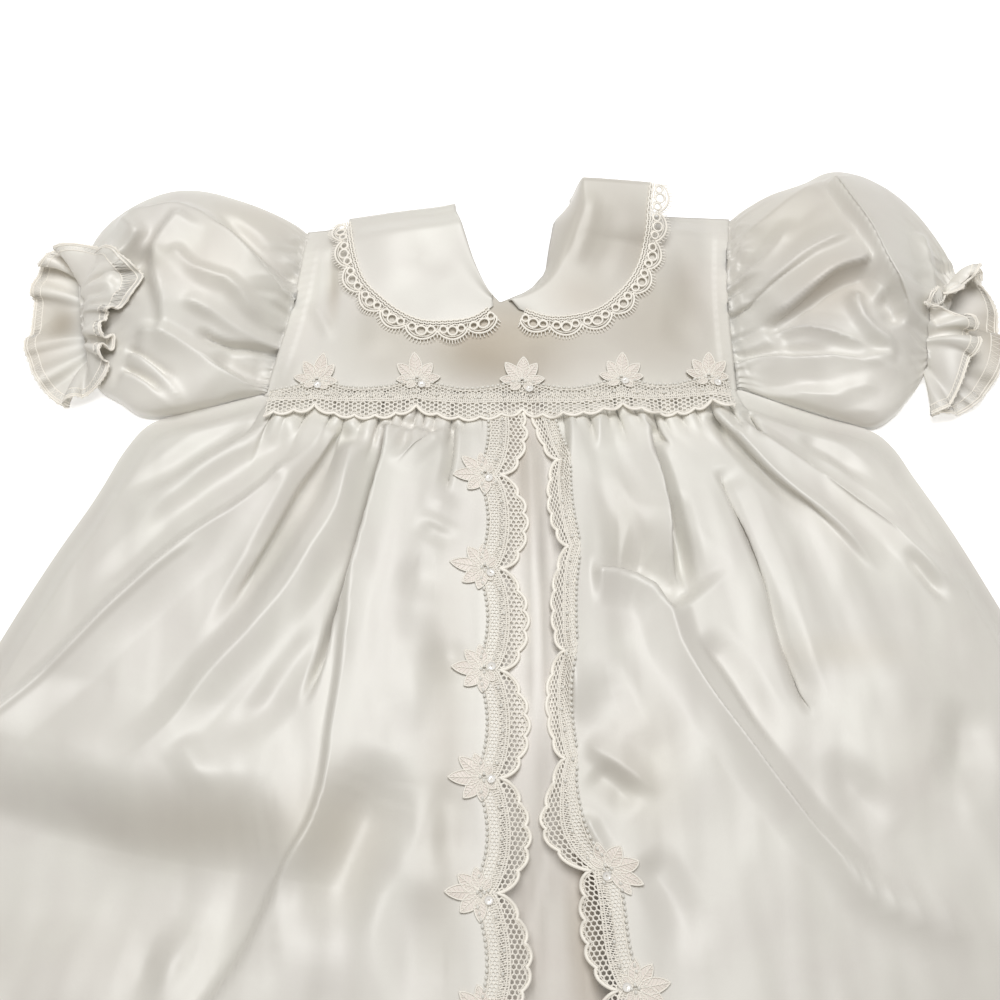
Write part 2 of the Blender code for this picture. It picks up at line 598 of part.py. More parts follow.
def tube_wall(name, outer, inner, material):
    """Closed wall of a tube from matching rings of outer and inner points."""
    count = len(outer[0])
    points = [p for ring in outer for p in ring] + [p for ring in inner for p in ring]
    shift = len(outer) * count
    faces = []
    for r in range(len(outer) - 1):
        for k in range(count):
            a, b = r * count + k, r * count + (k + 1) % count
            for base in (0, shift):
                faces.append((base + a, base + b, base + b + count))
                faces.append((base + a, base + b + count, base + a + count))
    for r in (0, len(outer) - 1):
        for k in range(count):
            a, b = r * count + k, r * count + (k + 1) % count
            faces.append((a, b, b + shift, a + shift))
    return make_solid(name, points, faces, material)


# Skirt pieces

def even(low, high, count):
    return np.linspace(low, high, count)


def overskirt_front(name, side, material):
    """One gathered front: fine at the waist, where the gathers are, and coarser below."""
    low = []
    for down, count in PANEL_ROWS:
        start = across_at(front_edge_x(side, down), down)
        across = even(float(start), side, count)
        x, y = skirt_point(across, np.full(count, down))
        low.append(stack(x, y, over_bottom(across, np.full(count, down))))
    return cloth_wall(name, low, raised(low, WALL), material)


def skirt_sheet(name, downs, shares, reach, bottom, material):
    """A skirt layer from side to side, at the height that bottom gives."""
    low = []
    for down in downs:
        across = reach(down) * np.array(shares)
        down_row = np.full(len(shares), down)
        x, y = skirt_point(across, down_row)
        low.append(stack(x, y, bottom(across, down_row)))
    return cloth_wall(name, low, raised(low, FLAT_WALL), material)


def build_skirt(satin, lining):
    downs = [row.down for row in SKIRT_ROWS]
    inner_downs = [UNDER_FROM] + downs[1:-1] + [UNDER_TO]
    skirt_sheet("overskirt_back", downs, even(-1.0, 1.0, 11), lambda down: 1.0,
                lambda across, down: 0.0 * across, satin)
    skirt_sheet("underskirt_back", inner_downs, even(-1.0, 1.0, 9), under_half,
                lambda across, down: UNDER_BACK_Z + 0.0 * across, lining)
    skirt_sheet("underskirt_front", UNDER_FRONT_DOWNS, UNDER_COLUMNS, under_half, under_bottom,
                lining)
    return (overskirt_front("overskirt_front_left", -1, satin),
            overskirt_front("overskirt_front_right", 1, satin))


def flower_lobe(gap):
    """How far a flower pushes the lace's inner edge out, at a distance along the lace."""
    return FLOWER_REACH * np.sqrt(np.clip(1.0 - (gap / FLOWER_HALF) ** 2, 0.0, 1.0))


def front_lace(name, side, flower_y, panel, material):
    """Lace of a front edge: scallops to the middle, a flower on the cloth at each repeat."""
    low = []
    seats = seat_on([panel], LACE_SEAT_REACH, LACE_SEAT_REACH)
    count = int((FRONT_LACE_FROM - FRONT_LACE_TO) / LACE_REPEAT * FRONT_LACE_STEPS)
    table_y = [row.centre_y for row in SKIRT_ROWS][::-1]
    table_down = [row.down for row in SKIRT_ROWS][::-1]
    for y in even(FRONT_LACE_FROM, FRONT_LACE_TO, count):
        down = float(curve_at(y, table_y, table_down))
        phase = ((flower_y - y) / LACE_REPEAT) % 1.0
        scallop = FRONT_LACE_SCALLOP * math.sin(math.pi * phase) ** SCALLOP_POWER
        lobe = float(flower_lobe(LACE_REPEAT * min(phase, 1.0 - phase)))
        edge = float(front_edge_x(side, down))
        outer = edge - side * (1.0 + scallop)
        reach = float(front_edge_value("left_lace" if side < 0 else "right_lace", down))
        inner = edge + side * (reach + lobe * (reach / FRONT_LACE_FULL) ** 2)
        x = np.array([outer, edge, 0.5 * (edge + inner), inner])
        across = across_at(x, down)
        down_row = np.full(4, down)
        y_row = skirt_point(across, down_row)[1]
        top = over_bottom(across, down_row) + WALL
        low.append(stack(x, y_row, seats(x, y_row, top)))
    return cloth_wall(name, low, raised(low, LACE_WALL), material)


def waist_lace(carriers, material):
    """Band over the waist seam, scalloped below, with flowers standing up on the bodice."""
    low = []
    seats = seat_on(carriers, WAIST_LACE_STEP, LACE_SEAT_REACH)
    for x in np.arange(WAIST_LACE_FROM, WAIST_LACE_TO, WAIST_LACE_STEP):
        seam = float(waist_y(x))
        phase = ((x - WAIST_FLOWERS_X[0]) / WAIST_REPEAT) % 1.0
        scallop = WAIST_SCALLOP_DEPTH * math.sin(math.pi * phase) ** SCALLOP_POWER
        rise = max(math.sqrt(max(0.0, 1.0 - ((x - flower) / WAIST_FLOWER_HALF) ** 2))
                   for flower in WAIST_FLOWERS_X)
        ends = float(smooth_step((0.5 * WAIST_LACE_STEP - WAIST_LACE_FROM - abs(x)) / WAIST_END))
        y = seam + np.array([WAIST_LACE_LOW - scallop * ends, -5.0, 0.5, WAIST_LACE_TOP,
                             WAIST_LACE_TOP + 0.5 + WAIST_FLOWER_RISE * rise])
        across = across_at(x, 0.0)
        rise_here = crown(across, 0.0) + OVER_LIFT + GATHER_HEIGHT
        roll = skirt_edge_roll(np.full(5, x), np.minimum(y, seam))
        over_skirt = SEAM_Z + np.maximum(roll, roll[0]) * rise_here + 0.06 * (seam - y)
        z = np.maximum(np.where(y > seam + 4.2, 0.0, over_skirt), bodice_bottom(x, y)) + WALL
        low.append(stack(np.full(5, x), y, seats(x, y, z) + WAIST_LACE_SLACK))
    return cloth_wall("waist_lace", low, raised(low, LACE_WALL), material)


# Bodice pieces

def bodice_patch(top_points, inner_left, inner_right, across_list, up_list, left_x, right_x):
    """Plan points of a bodice piece, blended between its four outlines."""
    rows = []
    for up in up_list:
        row = []
        for across in across_list:
            base_x = left_x + (right_x - left_x) * across
            base = np.array([base_x, float(waist_y(base_x)) + SEAM_GAP])
            top = top_points(across)
            ends = [np.array([left_x, float(waist_y(left_x)) + SEAM_GAP]),
                    np.array([right_x, float(waist_y(right_x)) + SEAM_GAP])]
            chords = [ends[0] * (1 - up) + top_points(0.0) * up,
                      ends[1] * (1 - up) + top_points(1.0) * up]
            point = base * (1 - up) + top * up
            point = point + (1 - across) * (inner_left(up, chords[0]) - chords[0])
            point = point + across * (inner_right(up, chords[1]) - chords[1])
            row.append(point)
        rows.append(np.array(row))
    return rows


def armhole_side(side):
    def edge(up, chord):
        return np.array([float(armhole_x(side, chord[1])), chord[1]])
    return edge


def opening_side(points):
    def edge(up, chord):
        return along_points(points, np.array([up]))[0]
    return edge


def line_between(first, last):
    return lambda q: np.array(first) * (1 - q) + np.array(last) * q


def bodice_front(material):
    knots = [0.0] + [p.across for p in NECKLINE] + [1.0]
    xs = [SHOULDER_OUTER_LEFT[0]] + [p.x for p in NECKLINE] + [SHOULDER_OUTER_RIGHT[0]]
    ys = [SHOULDER_OUTER_LEFT[1]] + [p.y for p in NECKLINE] + [SHOULDER_OUTER_RIGHT[1]]

    def top(q):
        return np.array([np.interp(q, knots, xs), np.interp(q, knots, ys)])

    across = BODICE_LEFT_COLUMNS + [p.across for p in NECKLINE] + BODICE_RIGHT_COLUMNS
    plan = bodice_patch(top, armhole_side(-1), armhole_side(1), across, BODICE_UPS,
                        SKIRT_ROWS[0].left_x, SKIRT_ROWS[0].right_x)
    low = [stack(row[:, 0], row[:, 1], bodice_bottom(row[:, 0], row[:, 1])) for row in plan]
    return cloth_wall("bodice_front", low, raised(low, WALL), material)


def bodice_back(name, side, material):
    """Flat back half; its centre edge lies open, as the back fastening is undone."""
    opening = BACK_OPENING_LEFT if side < 0 else BACK_OPENING_RIGHT
    opening = [(opening[0][0], float(waist_y(opening[0][0])) + SEAM_GAP)] + opening[1:]
    if side < 0:
        top = line_between(SHOULDER_OUTER_LEFT, opening[-1])
        plan = bodice_patch(top, armhole_side(-1), opening_side(opening), BACK_COLUMNS, BACK_UPS,
                            SKIRT_ROWS[0].left_x, opening[0][0])
    else:
        top = line_between(opening[-1], SHOULDER_OUTER_RIGHT)
        plan = bodice_patch(top, opening_side(opening), armhole_side(1), BACK_COLUMNS, BACK_UPS,
                            opening[0][0], SKIRT_ROWS[0].right_x)
    low = [stack(row[:, 0], row[:, 1], 0.0) for row in plan]
    cloth_wall(name, low, raised(low, FLAT_WALL), material)


# Collar pieces

def over_the_shoulder(top_row):
    """Rows that take a collar from its shoulder fold down behind to the surface."""
    top = np.array(top_row)
    rows = []
    for turn in COLLAR_TURNS:
        row = top.copy()
        row[:, 1] += COLLAR_TURN_DEPTH * turn
        row[:, 2] -= (top[:, 2] - COLLAR_TURN_END_Z) * turn ** 2
        rows.append([tuple(p) for p in row])
    return rows


def collar_left(seats, material):
    """Flat half: it follows the bodice, rolls a little at the neck and lifts at the shoulder."""
    low = []
    for down in even(0.0, 1.0, 13):
        neck = along_points(COLLAR_LEFT_NECK, np.array([down]))[0]
        edge = along_points(COLLAR_LEFT_EDGE, np.array([down]))[0]
        q = even(0.0, 1.0, 8)
        x = neck[0] + (edge[0] - neck[0]) * q
        y = neck[1] + (edge[1] - neck[1]) * q
        lift = COLLAR_SHOULDER_LIFT * (1 - down) ** 4 * (1 - 0.4 * q)
        puff = COLLAR_PUFF * np.sin(math.pi * q) * (1 - down)
        roll = COLLAR_ROLL * np.exp(-(q / COLLAR_ROLL_WIDTH) ** 2)
        low.append(stack(x, y, seats(x, y, bodice_top(x, y)) + lift + puff + roll))
    low = over_the_shoulder(low[0]) + low
    cloth_wall("collar_left", low, wall_by_normals(low, FLAT_WALL), material)


def collar_right_row(seats, down):
    """Neck, roll and edge points of the standing half, at a fraction of its length."""
    knots = even(0.0, 1.0, len(COLLAR_RIGHT_ROWS))
    value = {name: float(curve_at(down, knots, [getattr(row, name) for row in COLLAR_RIGHT_ROWS]))
             for name in CollarRow._fields}
    x = np.array([value["neck_x"], value["edge_x"]])
    y = np.array([value["neck_y"], value["edge_y"]])
    seat = seats(x, y, bodice_top(x, y))
    neck = np.array([x[0], y[0], seat[0]])
    roll = np.array([value["roll_x"], value["roll_y"], value["roll_z"]])
    edge = np.array([x[1], y[1], max(value["edge_z"], seat[1])])
    return neck, roll, edge


def collar_right(seats, material):
    low = []
    for down in even(0.0, 1.0, 14):
        neck, roll, edge = collar_right_row(seats, down)
        row = []
        for q in (0.0, 0.35, 0.7):
            point = neck + (roll - neck) * q
            point[2] = neck[2] + (roll[2] - neck[2]) * math.sin(0.5 * math.pi * q)
            row.append(point)
        for q in (0.0, 0.2, 0.4, 0.6, 0.8, 1.0):
            point = roll + (edge - roll) * q
            point[2] = roll[2] + (edge[2] - roll[2]) * q ** COLLAR_FALL_POWER
            floor = seats(point[:1], point[1:2], bodice_top(point[:1], point[1:2]))[0]
            point[2] = max(point[2], floor)
            row.append(point)
        low.append([tuple(p) for p in row])
    low = over_the_shoulder(low[0]) + low
    cloth_wall("collar_right", low, wall_by_normals(low, FLAT_WALL), material)


def collar_lace(name, edge_point, edge_z, side, seats, material):
    """Scallops along a collar edge, each a closed frame round one open loop."""
    at = even(0.0, 1.0, COLLAR_STEPS)
    samples = np.array([edge_point(q) for q in at])
    length = float(np.sum(np.hypot(*np.diff(samples, axis=0).T)))
    cells = int(round(length / SCALLOP_LENGTH))
    tangent = np.gradient(samples, axis=0)
    tangent /= np.linalg.norm(tangent, axis=1, keepdims=True)
    outward = side * np.stack([tangent[:, 1], -tangent[:, 0]], axis=1)

    def place(along, out):
        q = along / cells
        width = LACE_BAND + SCALLOP_DEPTH * abs(math.sin(math.pi * along))
        shift = COLLAR_LACE_GAP + width * out
        x = np.interp(q, at, samples[:, 0] + shift * outward[:, 0])
        y = np.interp(q, at, samples[:, 1] + shift * outward[:, 1])
        at_point = np.array([x]), np.array([y])
        seat = seats(*at_point, bodice_top(*at_point))[0]
        return (x, y, max(seat, edge_z(q) - LACE_FALL * shift))

    points, numbers, faces = [], {}, []

    def number(along, out, upper):
        key = (round(along * 60), round(out * 60), upper)
        if key not in numbers:
            x, y, z = place(along, out)
            numbers[key] = len(points)
            points.append((x, y, z + (LACE_WALL if upper else 0.0)))
        return numbers[key]

    third = 1.0 / 3.0
    frame = [(0, 0), (third, 0), (2 * third, 0), (1, 0), (1, third), (1, 2 * third), (1, 1),
             (2 * third, 1), (third, 1), (0, 1), (0, 2 * third), (0, third)]
    loop = []
    for a, b in frame:
        angle = math.atan2(b - 0.5, a - 0.5)
        loop.append((0.5 + LOOP_ALONG * math.cos(angle), 0.5 + LOOP_ACROSS * math.sin(angle)))
    for cell in range(cells):
        for k in range(12):
            m = (k + 1) % 12
            ends = [(cell + frame[k][0], frame[k][1]), (cell + frame[m][0], frame[m][1]),
                    (cell + loop[m][0], loop[m][1]), (cell + loop[k][0], loop[k][1])]
            for upper in (False, True):
                faces.append([number(a, b, upper) for a, b in ends])
            faces.append([number(*ends[3], False), number(*ends[2], False),
                          number(*ends[2], True), number(*ends[3], True)])
            at_rim = frame[k][1] == frame[m][1] and frame[k][1] in (0, 1)
            at_start = cell == 0 and frame[k][0] == 0 and frame[m][0] == 0
            at_end = cell == cells - 1 and frame[k][0] == 1 and frame[m][0] == 1
            if at_rim or at_start or at_end:
                faces.append([number(*ends[0], False), number(*ends[1], False),
                              number(*ends[1], True), number(*ends[0], True)])
    return make_solid(name, points, faces, material)


def build_collar(bodice, satin, lace):
    seats = seat_on([bodice])
    collar_left(seats, satin)
    collar_right(seats, satin)
    collar_lace("collar_lace_left",
                lambda q: along_points(COLLAR_LEFT_EDGE, np.array([q]))[0],
                lambda q: COLLAR_SHOULDER_LIFT * 0.6 * (1 - q) ** 4 + COLLAR_EDGE_RISE, 1,
                seats, lace)
    collar_lace("collar_lace_right", lambda q: collar_right_row(seats, q)[2][:2],
                lambda q: collar_right_row(seats, q)[2][2], -1, seats, lace)


# Sleeves and cuffs

def inset(loop, wall):
    """A section's points moved inward by the wall; the section runs anticlockwise."""
    tangent = np.roll(loop, -1, axis=0) - np.roll(loop, 1, axis=0)
    tangent /= np.linalg.norm(tangent, axis=1, keepdims=True)
    inward = np.stack([-tangent[:, 1], tangent[:, 0]], axis=1)
    moved = loop + wall * inward
    moved[:, 1] = np.maximum(moved[:, 1], max(wall, 0.0))
    return moved


def sleeve_section(row, waves, wave_height, folds, toward_body, depths):
    """Rings of one flattened section, flat below and domed above, at depths into the cloth."""
    low = np.array([row.low_x, row.low_y])
    top = np.array([row.top_x, row.top_y])
    width = np.linalg.norm(top - low)
    direction = (top - low) / width
    flat = [(width * k / FLAT_STEPS, 0.0) for k in range(FLAT_STEPS)]
    dome = []
    for k in range(DOME_STEPS):
        turn = math.pi * k / DOME_STEPS
        swell = wave_height * math.sin(turn) ** 0.5 * math.cos(2 * waves * turn)
        u = 0.5 * width * (1 + math.cos(turn)) + swell * math.cos(turn)
        z = row.height * math.sin(turn) ** DOME_POWER + swell * math.sin(turn)
        dome.append((u, z))
    loop = np.array(flat + dome)
    x = low[0] + direction[0] * loop[:, 0]
    y = low[1] + direction[1] * loop[:, 0]
    share = np.clip(loop[:, 1] / row.height, 0.0, 1.0) ** 0.5
    loop[:, 1] += share * fold_height(x, y, folds)
    rings = []
    for depth in depths:
        ring = inset(loop, depth)
        bow = row.bow * np.sin(math.pi * np.clip(ring[:, 0] / width, 0.0, 1.0))
        rings.append(stack(low[0] + direction[0] * ring[:, 0] + toward_body * bow,
                           low[1] + direction[1] * ring[:, 0], ring[:, 1]))
    return rings


def sleeve(name, rows, folds, toward_body, material):
    """Puff sleeve: gathered at the armhole and again at the elastic above the cuff."""
    rings = [sleeve_section(row, SLEEVE_GATHERS, SLEEVE_GATHER_HEIGHT * share, folds,
                            toward_body, (0.0, WALL))
             for row, share in zip(rows, SLEEVE_GATHER_SHARES)]
    tube_wall(name, [r[0] for r in rings], [r[1] for r in rings], material)


def cuff_sections(rows, toward_body, depths):
    return [sleeve_section(row, CUFF_WAVES, CUFF_WAVE_HEIGHT * share, [], toward_body, depths)
            for row, share in zip(rows, CUFF_WAVE_SHARES)]


def cuff_ruffle(name, rows, toward_body, material):
    rings = cuff_sections(rows, toward_body, (0.0, FLAT_WALL))
    tube_wall(name, [r[0] for r in rings], [r[1] for r in rings], material)


def cuff_lace(name, rows, toward_body, material):
    """Strip of lace over the top of the ruffle, from the ruffle's own points moved out."""
    first = FLAT_STEPS + 3
    last = FLAT_STEPS + DOME_STEPS - 2
    rings = cuff_sections(rows[:3], toward_body,
                          (-CUFF_LACE_LIFT, -CUFF_LACE_LIFT - LACE_WALL))
    cloth_wall(name, [r[0][first:last] for r in rings], [r[1][first:last] for r in rings],
               material)


def build_sleeves(satin, lace):
    sleeve("sleeve_left", SLEEVE_LEFT_ROWS, SLEEVE_LEFT_FOLDS, 1, satin)
    sleeve("sleeve_right", SLEEVE_RIGHT_ROWS, SLEEVE_RIGHT_FOLDS, -1, satin)
    cuff_ruffle("cuff_ruffle_left", CUFF_LEFT_ROWS, 1, satin)
    cuff_ruffle("cuff_ruffle_right", CUFF_RIGHT_ROWS, -1, satin)
    cuff_lace("cuff_lace_left", CUFF_LEFT_ROWS, 1, lace)
    cuff_lace("cuff_lace_right", CUFF_RIGHT_ROWS, -1, lace)


def main():
    for item in list(bpy.data.objects):
        bpy.data.objects.remove(item, do_unlink=True)
    satin = principled("satin_ivory", SATIN_IVORY, SATIN_ROUGHNESS)
    lace = principled("lace_ivory", LACE_IVORY, LACE_ROUGHNESS)
    lining = principled("lining_ivory", LINING_IVORY, LINING_ROUGHNESS)
    left_panel, right_panel = build_skirt(satin, lining)
    bodice = bodice_front(satin)
    bodice_back("bodice_back_left", -1, satin)
    bodice_back("bodice_back_right", 1, satin)
    build_collar(bodice, satin, lace)
    build_sleeves(satin, lace)
    waist_lace([bodice, left_panel, right_panel], lace)
    front_lace("overskirt_lace_left", -1, LEFT_FLOWER_Y, left_panel, lace)
    front_lace("overskirt_lace_right", 1, RIGHT_FLOWER_Y, right_panel, lace)


main()
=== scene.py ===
import math
from collections import namedtuple

import bpy
import numpy as np
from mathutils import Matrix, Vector
from mathutils.bvhtree import BVHTree


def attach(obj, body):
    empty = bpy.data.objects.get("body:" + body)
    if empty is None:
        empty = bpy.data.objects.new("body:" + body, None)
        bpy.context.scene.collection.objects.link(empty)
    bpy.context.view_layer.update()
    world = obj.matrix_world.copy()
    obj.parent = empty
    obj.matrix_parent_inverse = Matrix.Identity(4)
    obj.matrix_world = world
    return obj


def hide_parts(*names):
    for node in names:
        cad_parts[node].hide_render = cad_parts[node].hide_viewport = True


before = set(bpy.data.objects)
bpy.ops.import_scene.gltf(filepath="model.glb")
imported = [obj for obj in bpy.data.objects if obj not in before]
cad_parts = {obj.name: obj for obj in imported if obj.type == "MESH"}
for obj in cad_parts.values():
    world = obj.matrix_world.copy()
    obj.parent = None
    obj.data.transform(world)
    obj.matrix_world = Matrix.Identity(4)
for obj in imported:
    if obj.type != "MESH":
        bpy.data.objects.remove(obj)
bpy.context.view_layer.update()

MM = 0.001
UP = np.array([0.0, 0.0, 1.0])


# Tables

def entry(word):
    """A number, or a point when it is written with commas."""
    numbers = tuple(float(part) for part in word.split(","))
    return numbers if len(numbers) > 1 else numbers[0]


def table(kind, text):
    """Rows of a table: one to a line or between semicolons, and a line that is set in goes on
    with the row above. A row's numbers come in the order of its kind's names, and after a colon
    come the points x,y of its line."""
    rows = []
    for line in text.strip().replace("\n  ", " ").replace(";", "\n").splitlines():
        values, colon, points = line.partition(":")
        values = [entry(word) for word in values.split()]
        if colon:
            values.append([entry(word) for word in points.split()])
        rows.append(kind(*values))
    return rows


# Levels, as in the solids
WALL = 1.5
FLAT_WALL = 1.2
SEAM_GAP = 0.5
SEAM_Z = 1.6
UNDER_BACK_Z = 1.6
UNDER_FRONT_Z = 3.15
OVER_LIFT = 3.3
HEM_FOLD = 0.7
HEM_TURN = 12.0
FRONT_TURN = 6.0
# Rows of skirt under the bodice: how far up and how far down from the seam
SEAM_ROWS = [(4.0, 1.6), (1.5, 1.1)]
CLOTH = 0.7
COLLAR_CLOTH = 0.8

# Small uneven swells of the cloth, of about wide by long
Swell = namedtuple("Swell", "height wide long seed")
UNDER_SWELL = Swell(0.5, 16, 60, 5)
STREAKS = Swell(0.9, 5.5, 26, 3)
OVER_FINE = Swell(0.35, 9, 22, 7)
OVER_BROAD = Swell(1.1, 30, 44, 8)
TUCK_WANDER = Swell(0.8, 9, 30, 11)
BODICE_SWELL = Swell(0.3, 14, 20, 21)
PUCKER_WANDER = Swell(0.7, 30, 12, 25)
SLEEVE_BROAD = Swell(0.6, 18, 26, 31)
SLEEVE_FINE = Swell(0.25, 7, 12, 32)

# Skirt
CENTRE_X = 12.0
SkirtRow = namedtuple("SkirtRow", "down left_x left_y right_x right_y centre_y crown")
SKIRT_ROWS = table(SkirtRow, """
0 -118.5 0 119 3 -2 7
0.04 -140 -6 140 -5 -16 9
0.08 -160 -11 162 -13 -32 12
0.12 -175 -17 184 -20 -48 14
0.16 -185 -30 195 -29 -66 16
0.2 -194 -48 203 -43 -85 18
0.28 -214 -84 219 -72 -125 20
0.36 -233 -122 236 -108 -168 22
0.5 -266 -200 272 -190 -245 22
0.65 -304 -300 312 -295 -340 20
0.8 -340 -405 350 -400 -450 16
1 -388 -580 400 -575 -612 9
""")
CROWN_POWER = 3.0
ROW_SAG_POWER = 1.6
EDGE_ROLL = 14.0
PANEL_COLUMNS = 224
# Its rows: so many from one share of the length to the next, close where the folds are small
PANEL_ROWS = [(0.0, 0.1, 40), (0.1, 0.5, 150), (0.5, 1.0, 48)]
STREAKS_FADE = 0.1
FrontEdge = namedtuple("FrontEdge", "y left_x right_x")
FRONT_EDGES = table(FrontEdge, """
0 1 20; -30 0 26; -60 0 30; -115 0 31; -150 0 28; -170 0 28.5; -200 0 29; -225 0 34; -240 -1 43
-283 1 49; -350 -3 58; -450 -8 70; -612 -16 86
""")
TROUGH_SHARE = 0.6
TROUGH_DEPTH = 4.0
FLOOR_ROUND = 1.2
UNDER_HALF_TOP = 0.80
UNDER_HALF_GAIN = 0.12
UNDER_HALF_FULL = 0.16
UNDER_MARGIN = 0.03
UNDER_CROWN_SHARE = 0.2
UNDER_PUFF = 0.72
UNDER_SINK = 0.55
UNDER_SINK_FROM = 0.34
UNDER_SINK_FADE = 0.2
UNDER_PUFF_HALF = 20.0
UNDER_PUFF_FADE = 25.0

# A fold is walked from its first point to its last. crest is 0 for a round one and 1 for a
# sharp one, and left and right are the widths of its flanks. A trough has a negative height.
Fold = namedtuple("Fold", "height left right crest fade_in fade_out points")
CREST_POWER = 1.45
FOLD_STEP = 7.0
LEFT_FOLDS = table(Fold, """
5 14 12 0.5 10 30 : -97,-12 -115,-20 -132,-34 -166,-57 -186,-71
-5 12 12 0.2 15 30 : -109,-13 -126,-21 -139,-28 -167,-51 -180,-61
-3 14 12 0.2 15 30 : -97,-25 -126,-42 -164,-78 -194,-110
8.5 20 8 0.95 25 30 : -92,-30 -97,-40 -118,-61 -149,-84 -175,-109 -200,-136 -224,-160 -252,-187
2.5 7 7 0.6 8 14 : -100,-40 -107,-48 -115,-51
4 3 18 0.9 8 30 : -78,-19 -87,-36 -101,-61 -116,-91 -128,-115
-9.5 16 8 0.3 8 60 : -75,-18 -84,-35 -98,-61 -113,-91 -124,-115 -136,-139
7.5 15 15 0.7 12 45 : -71,-24 -73,-46 -77,-67 -88,-88 -99,-108 -115,-129 -129,-145 -149,-172 -168,-188
-4 14 10 0.2 20 30 : -78,-120 -91,-138 -107,-163 -122,-179
-10 3.5 4 0.6 3 26 : -55,-19 -56,-35 -60,-54 -68,-91 -76,-120 -82,-143 -88,-162
-4 3 20 0.5 8 30 : -56,-25 -58,-38 -61,-56 -69,-92 -77,-120 -85,-148
8 48 4 0.75 6 60 : -52,-20 -53,-38 -57,-56 -61,-76 -66,-98 -68,-120 -71,-148 -74,-174 -76,-196 -82,-214
  -90,-227 -98,-245 -106,-263 -118,-283 -139,-317 -154,-372
7 32 44 0.1 30 34 : -250,-166 -223,-172 -204,-175 -180,-181 -155,-187 -126,-190 -101,-191 -83,-190
-14 46 58 0 40 34 : -256,-220 -216,-226 -185,-230 -155,-235 -124,-235 -102,-232 -81,-227
2.5 10 12 0.4 8 15 : -141,-174 -133,-186 -122,-200
-5 14 12 0.2 20 20 : -148,-259 -151,-273 -148,-287
4.5 12 10 0.5 20 20 : -142,-287 -141,-273 -133,-261 -121,-257
-13 26 24 0 34 30 : -51,-178 -56,-201 -66,-224 -78,-245 -89,-261
-3 24 18 0 20 20 : -29,-235 -36,-253 -34,-273 -25,-287
-2.5 16 14 0.1 18 18 : -28,-188 -23,-214 -26,-235
1.4 7 10 0.5 10 16 : -36,-61 -28,-63 -16,-68
1.6 6 9 0.5 8 14 : -40,-70 -28,-75 -18,-79
-1.8 6 8 0.3 8 12 : -38,-74 -26,-80 -18,-83
-2 14 14 0.1 14 16 : -49,-96 -35,-101 -21,-100
-2 12 12 0.1 14 16 : -32,-129 -23,-138 -19,-152
2.5 20 20 0 20 25 : -37,-115 -40,-148 -33,-174
3 9 6 0.5 4 14 : -30,-25 -41,-35 -50,-48
-4.5 4 4 0.7 3 14 : -44,-16 -45,-30 -49,-44
-4.5 5 4 0.7 3 14 : -32,-20 -35,-28 -42,-36
-6 3 6 0.8 3 12 : -22,-19 -22,-35 -24,-50 -26,-59
1.3 3 3 0.8 12 14 : -141,-81 -149,-87 -175,-111 -200,-138 -224,-162 -240,-177
6 26 24 0.4 40 5 : -40,-310 -60,-450 -75,-620
-6 18 18 0.3 40 5 : -110,-330 -125,-470 -135,-620
-6 16 18 0.4 40 5 : -180,-320 -215,-430 -242,-610
7 22 22 0.5 40 5 : -215,-270 -262,-400 -302,-605
6 16 14 0.5 40 5 : -262,-255 -312,-400 -352,-600
-4 14 14 0.4 40 5 : -20,-330 -30,-460 -42,-620
""")
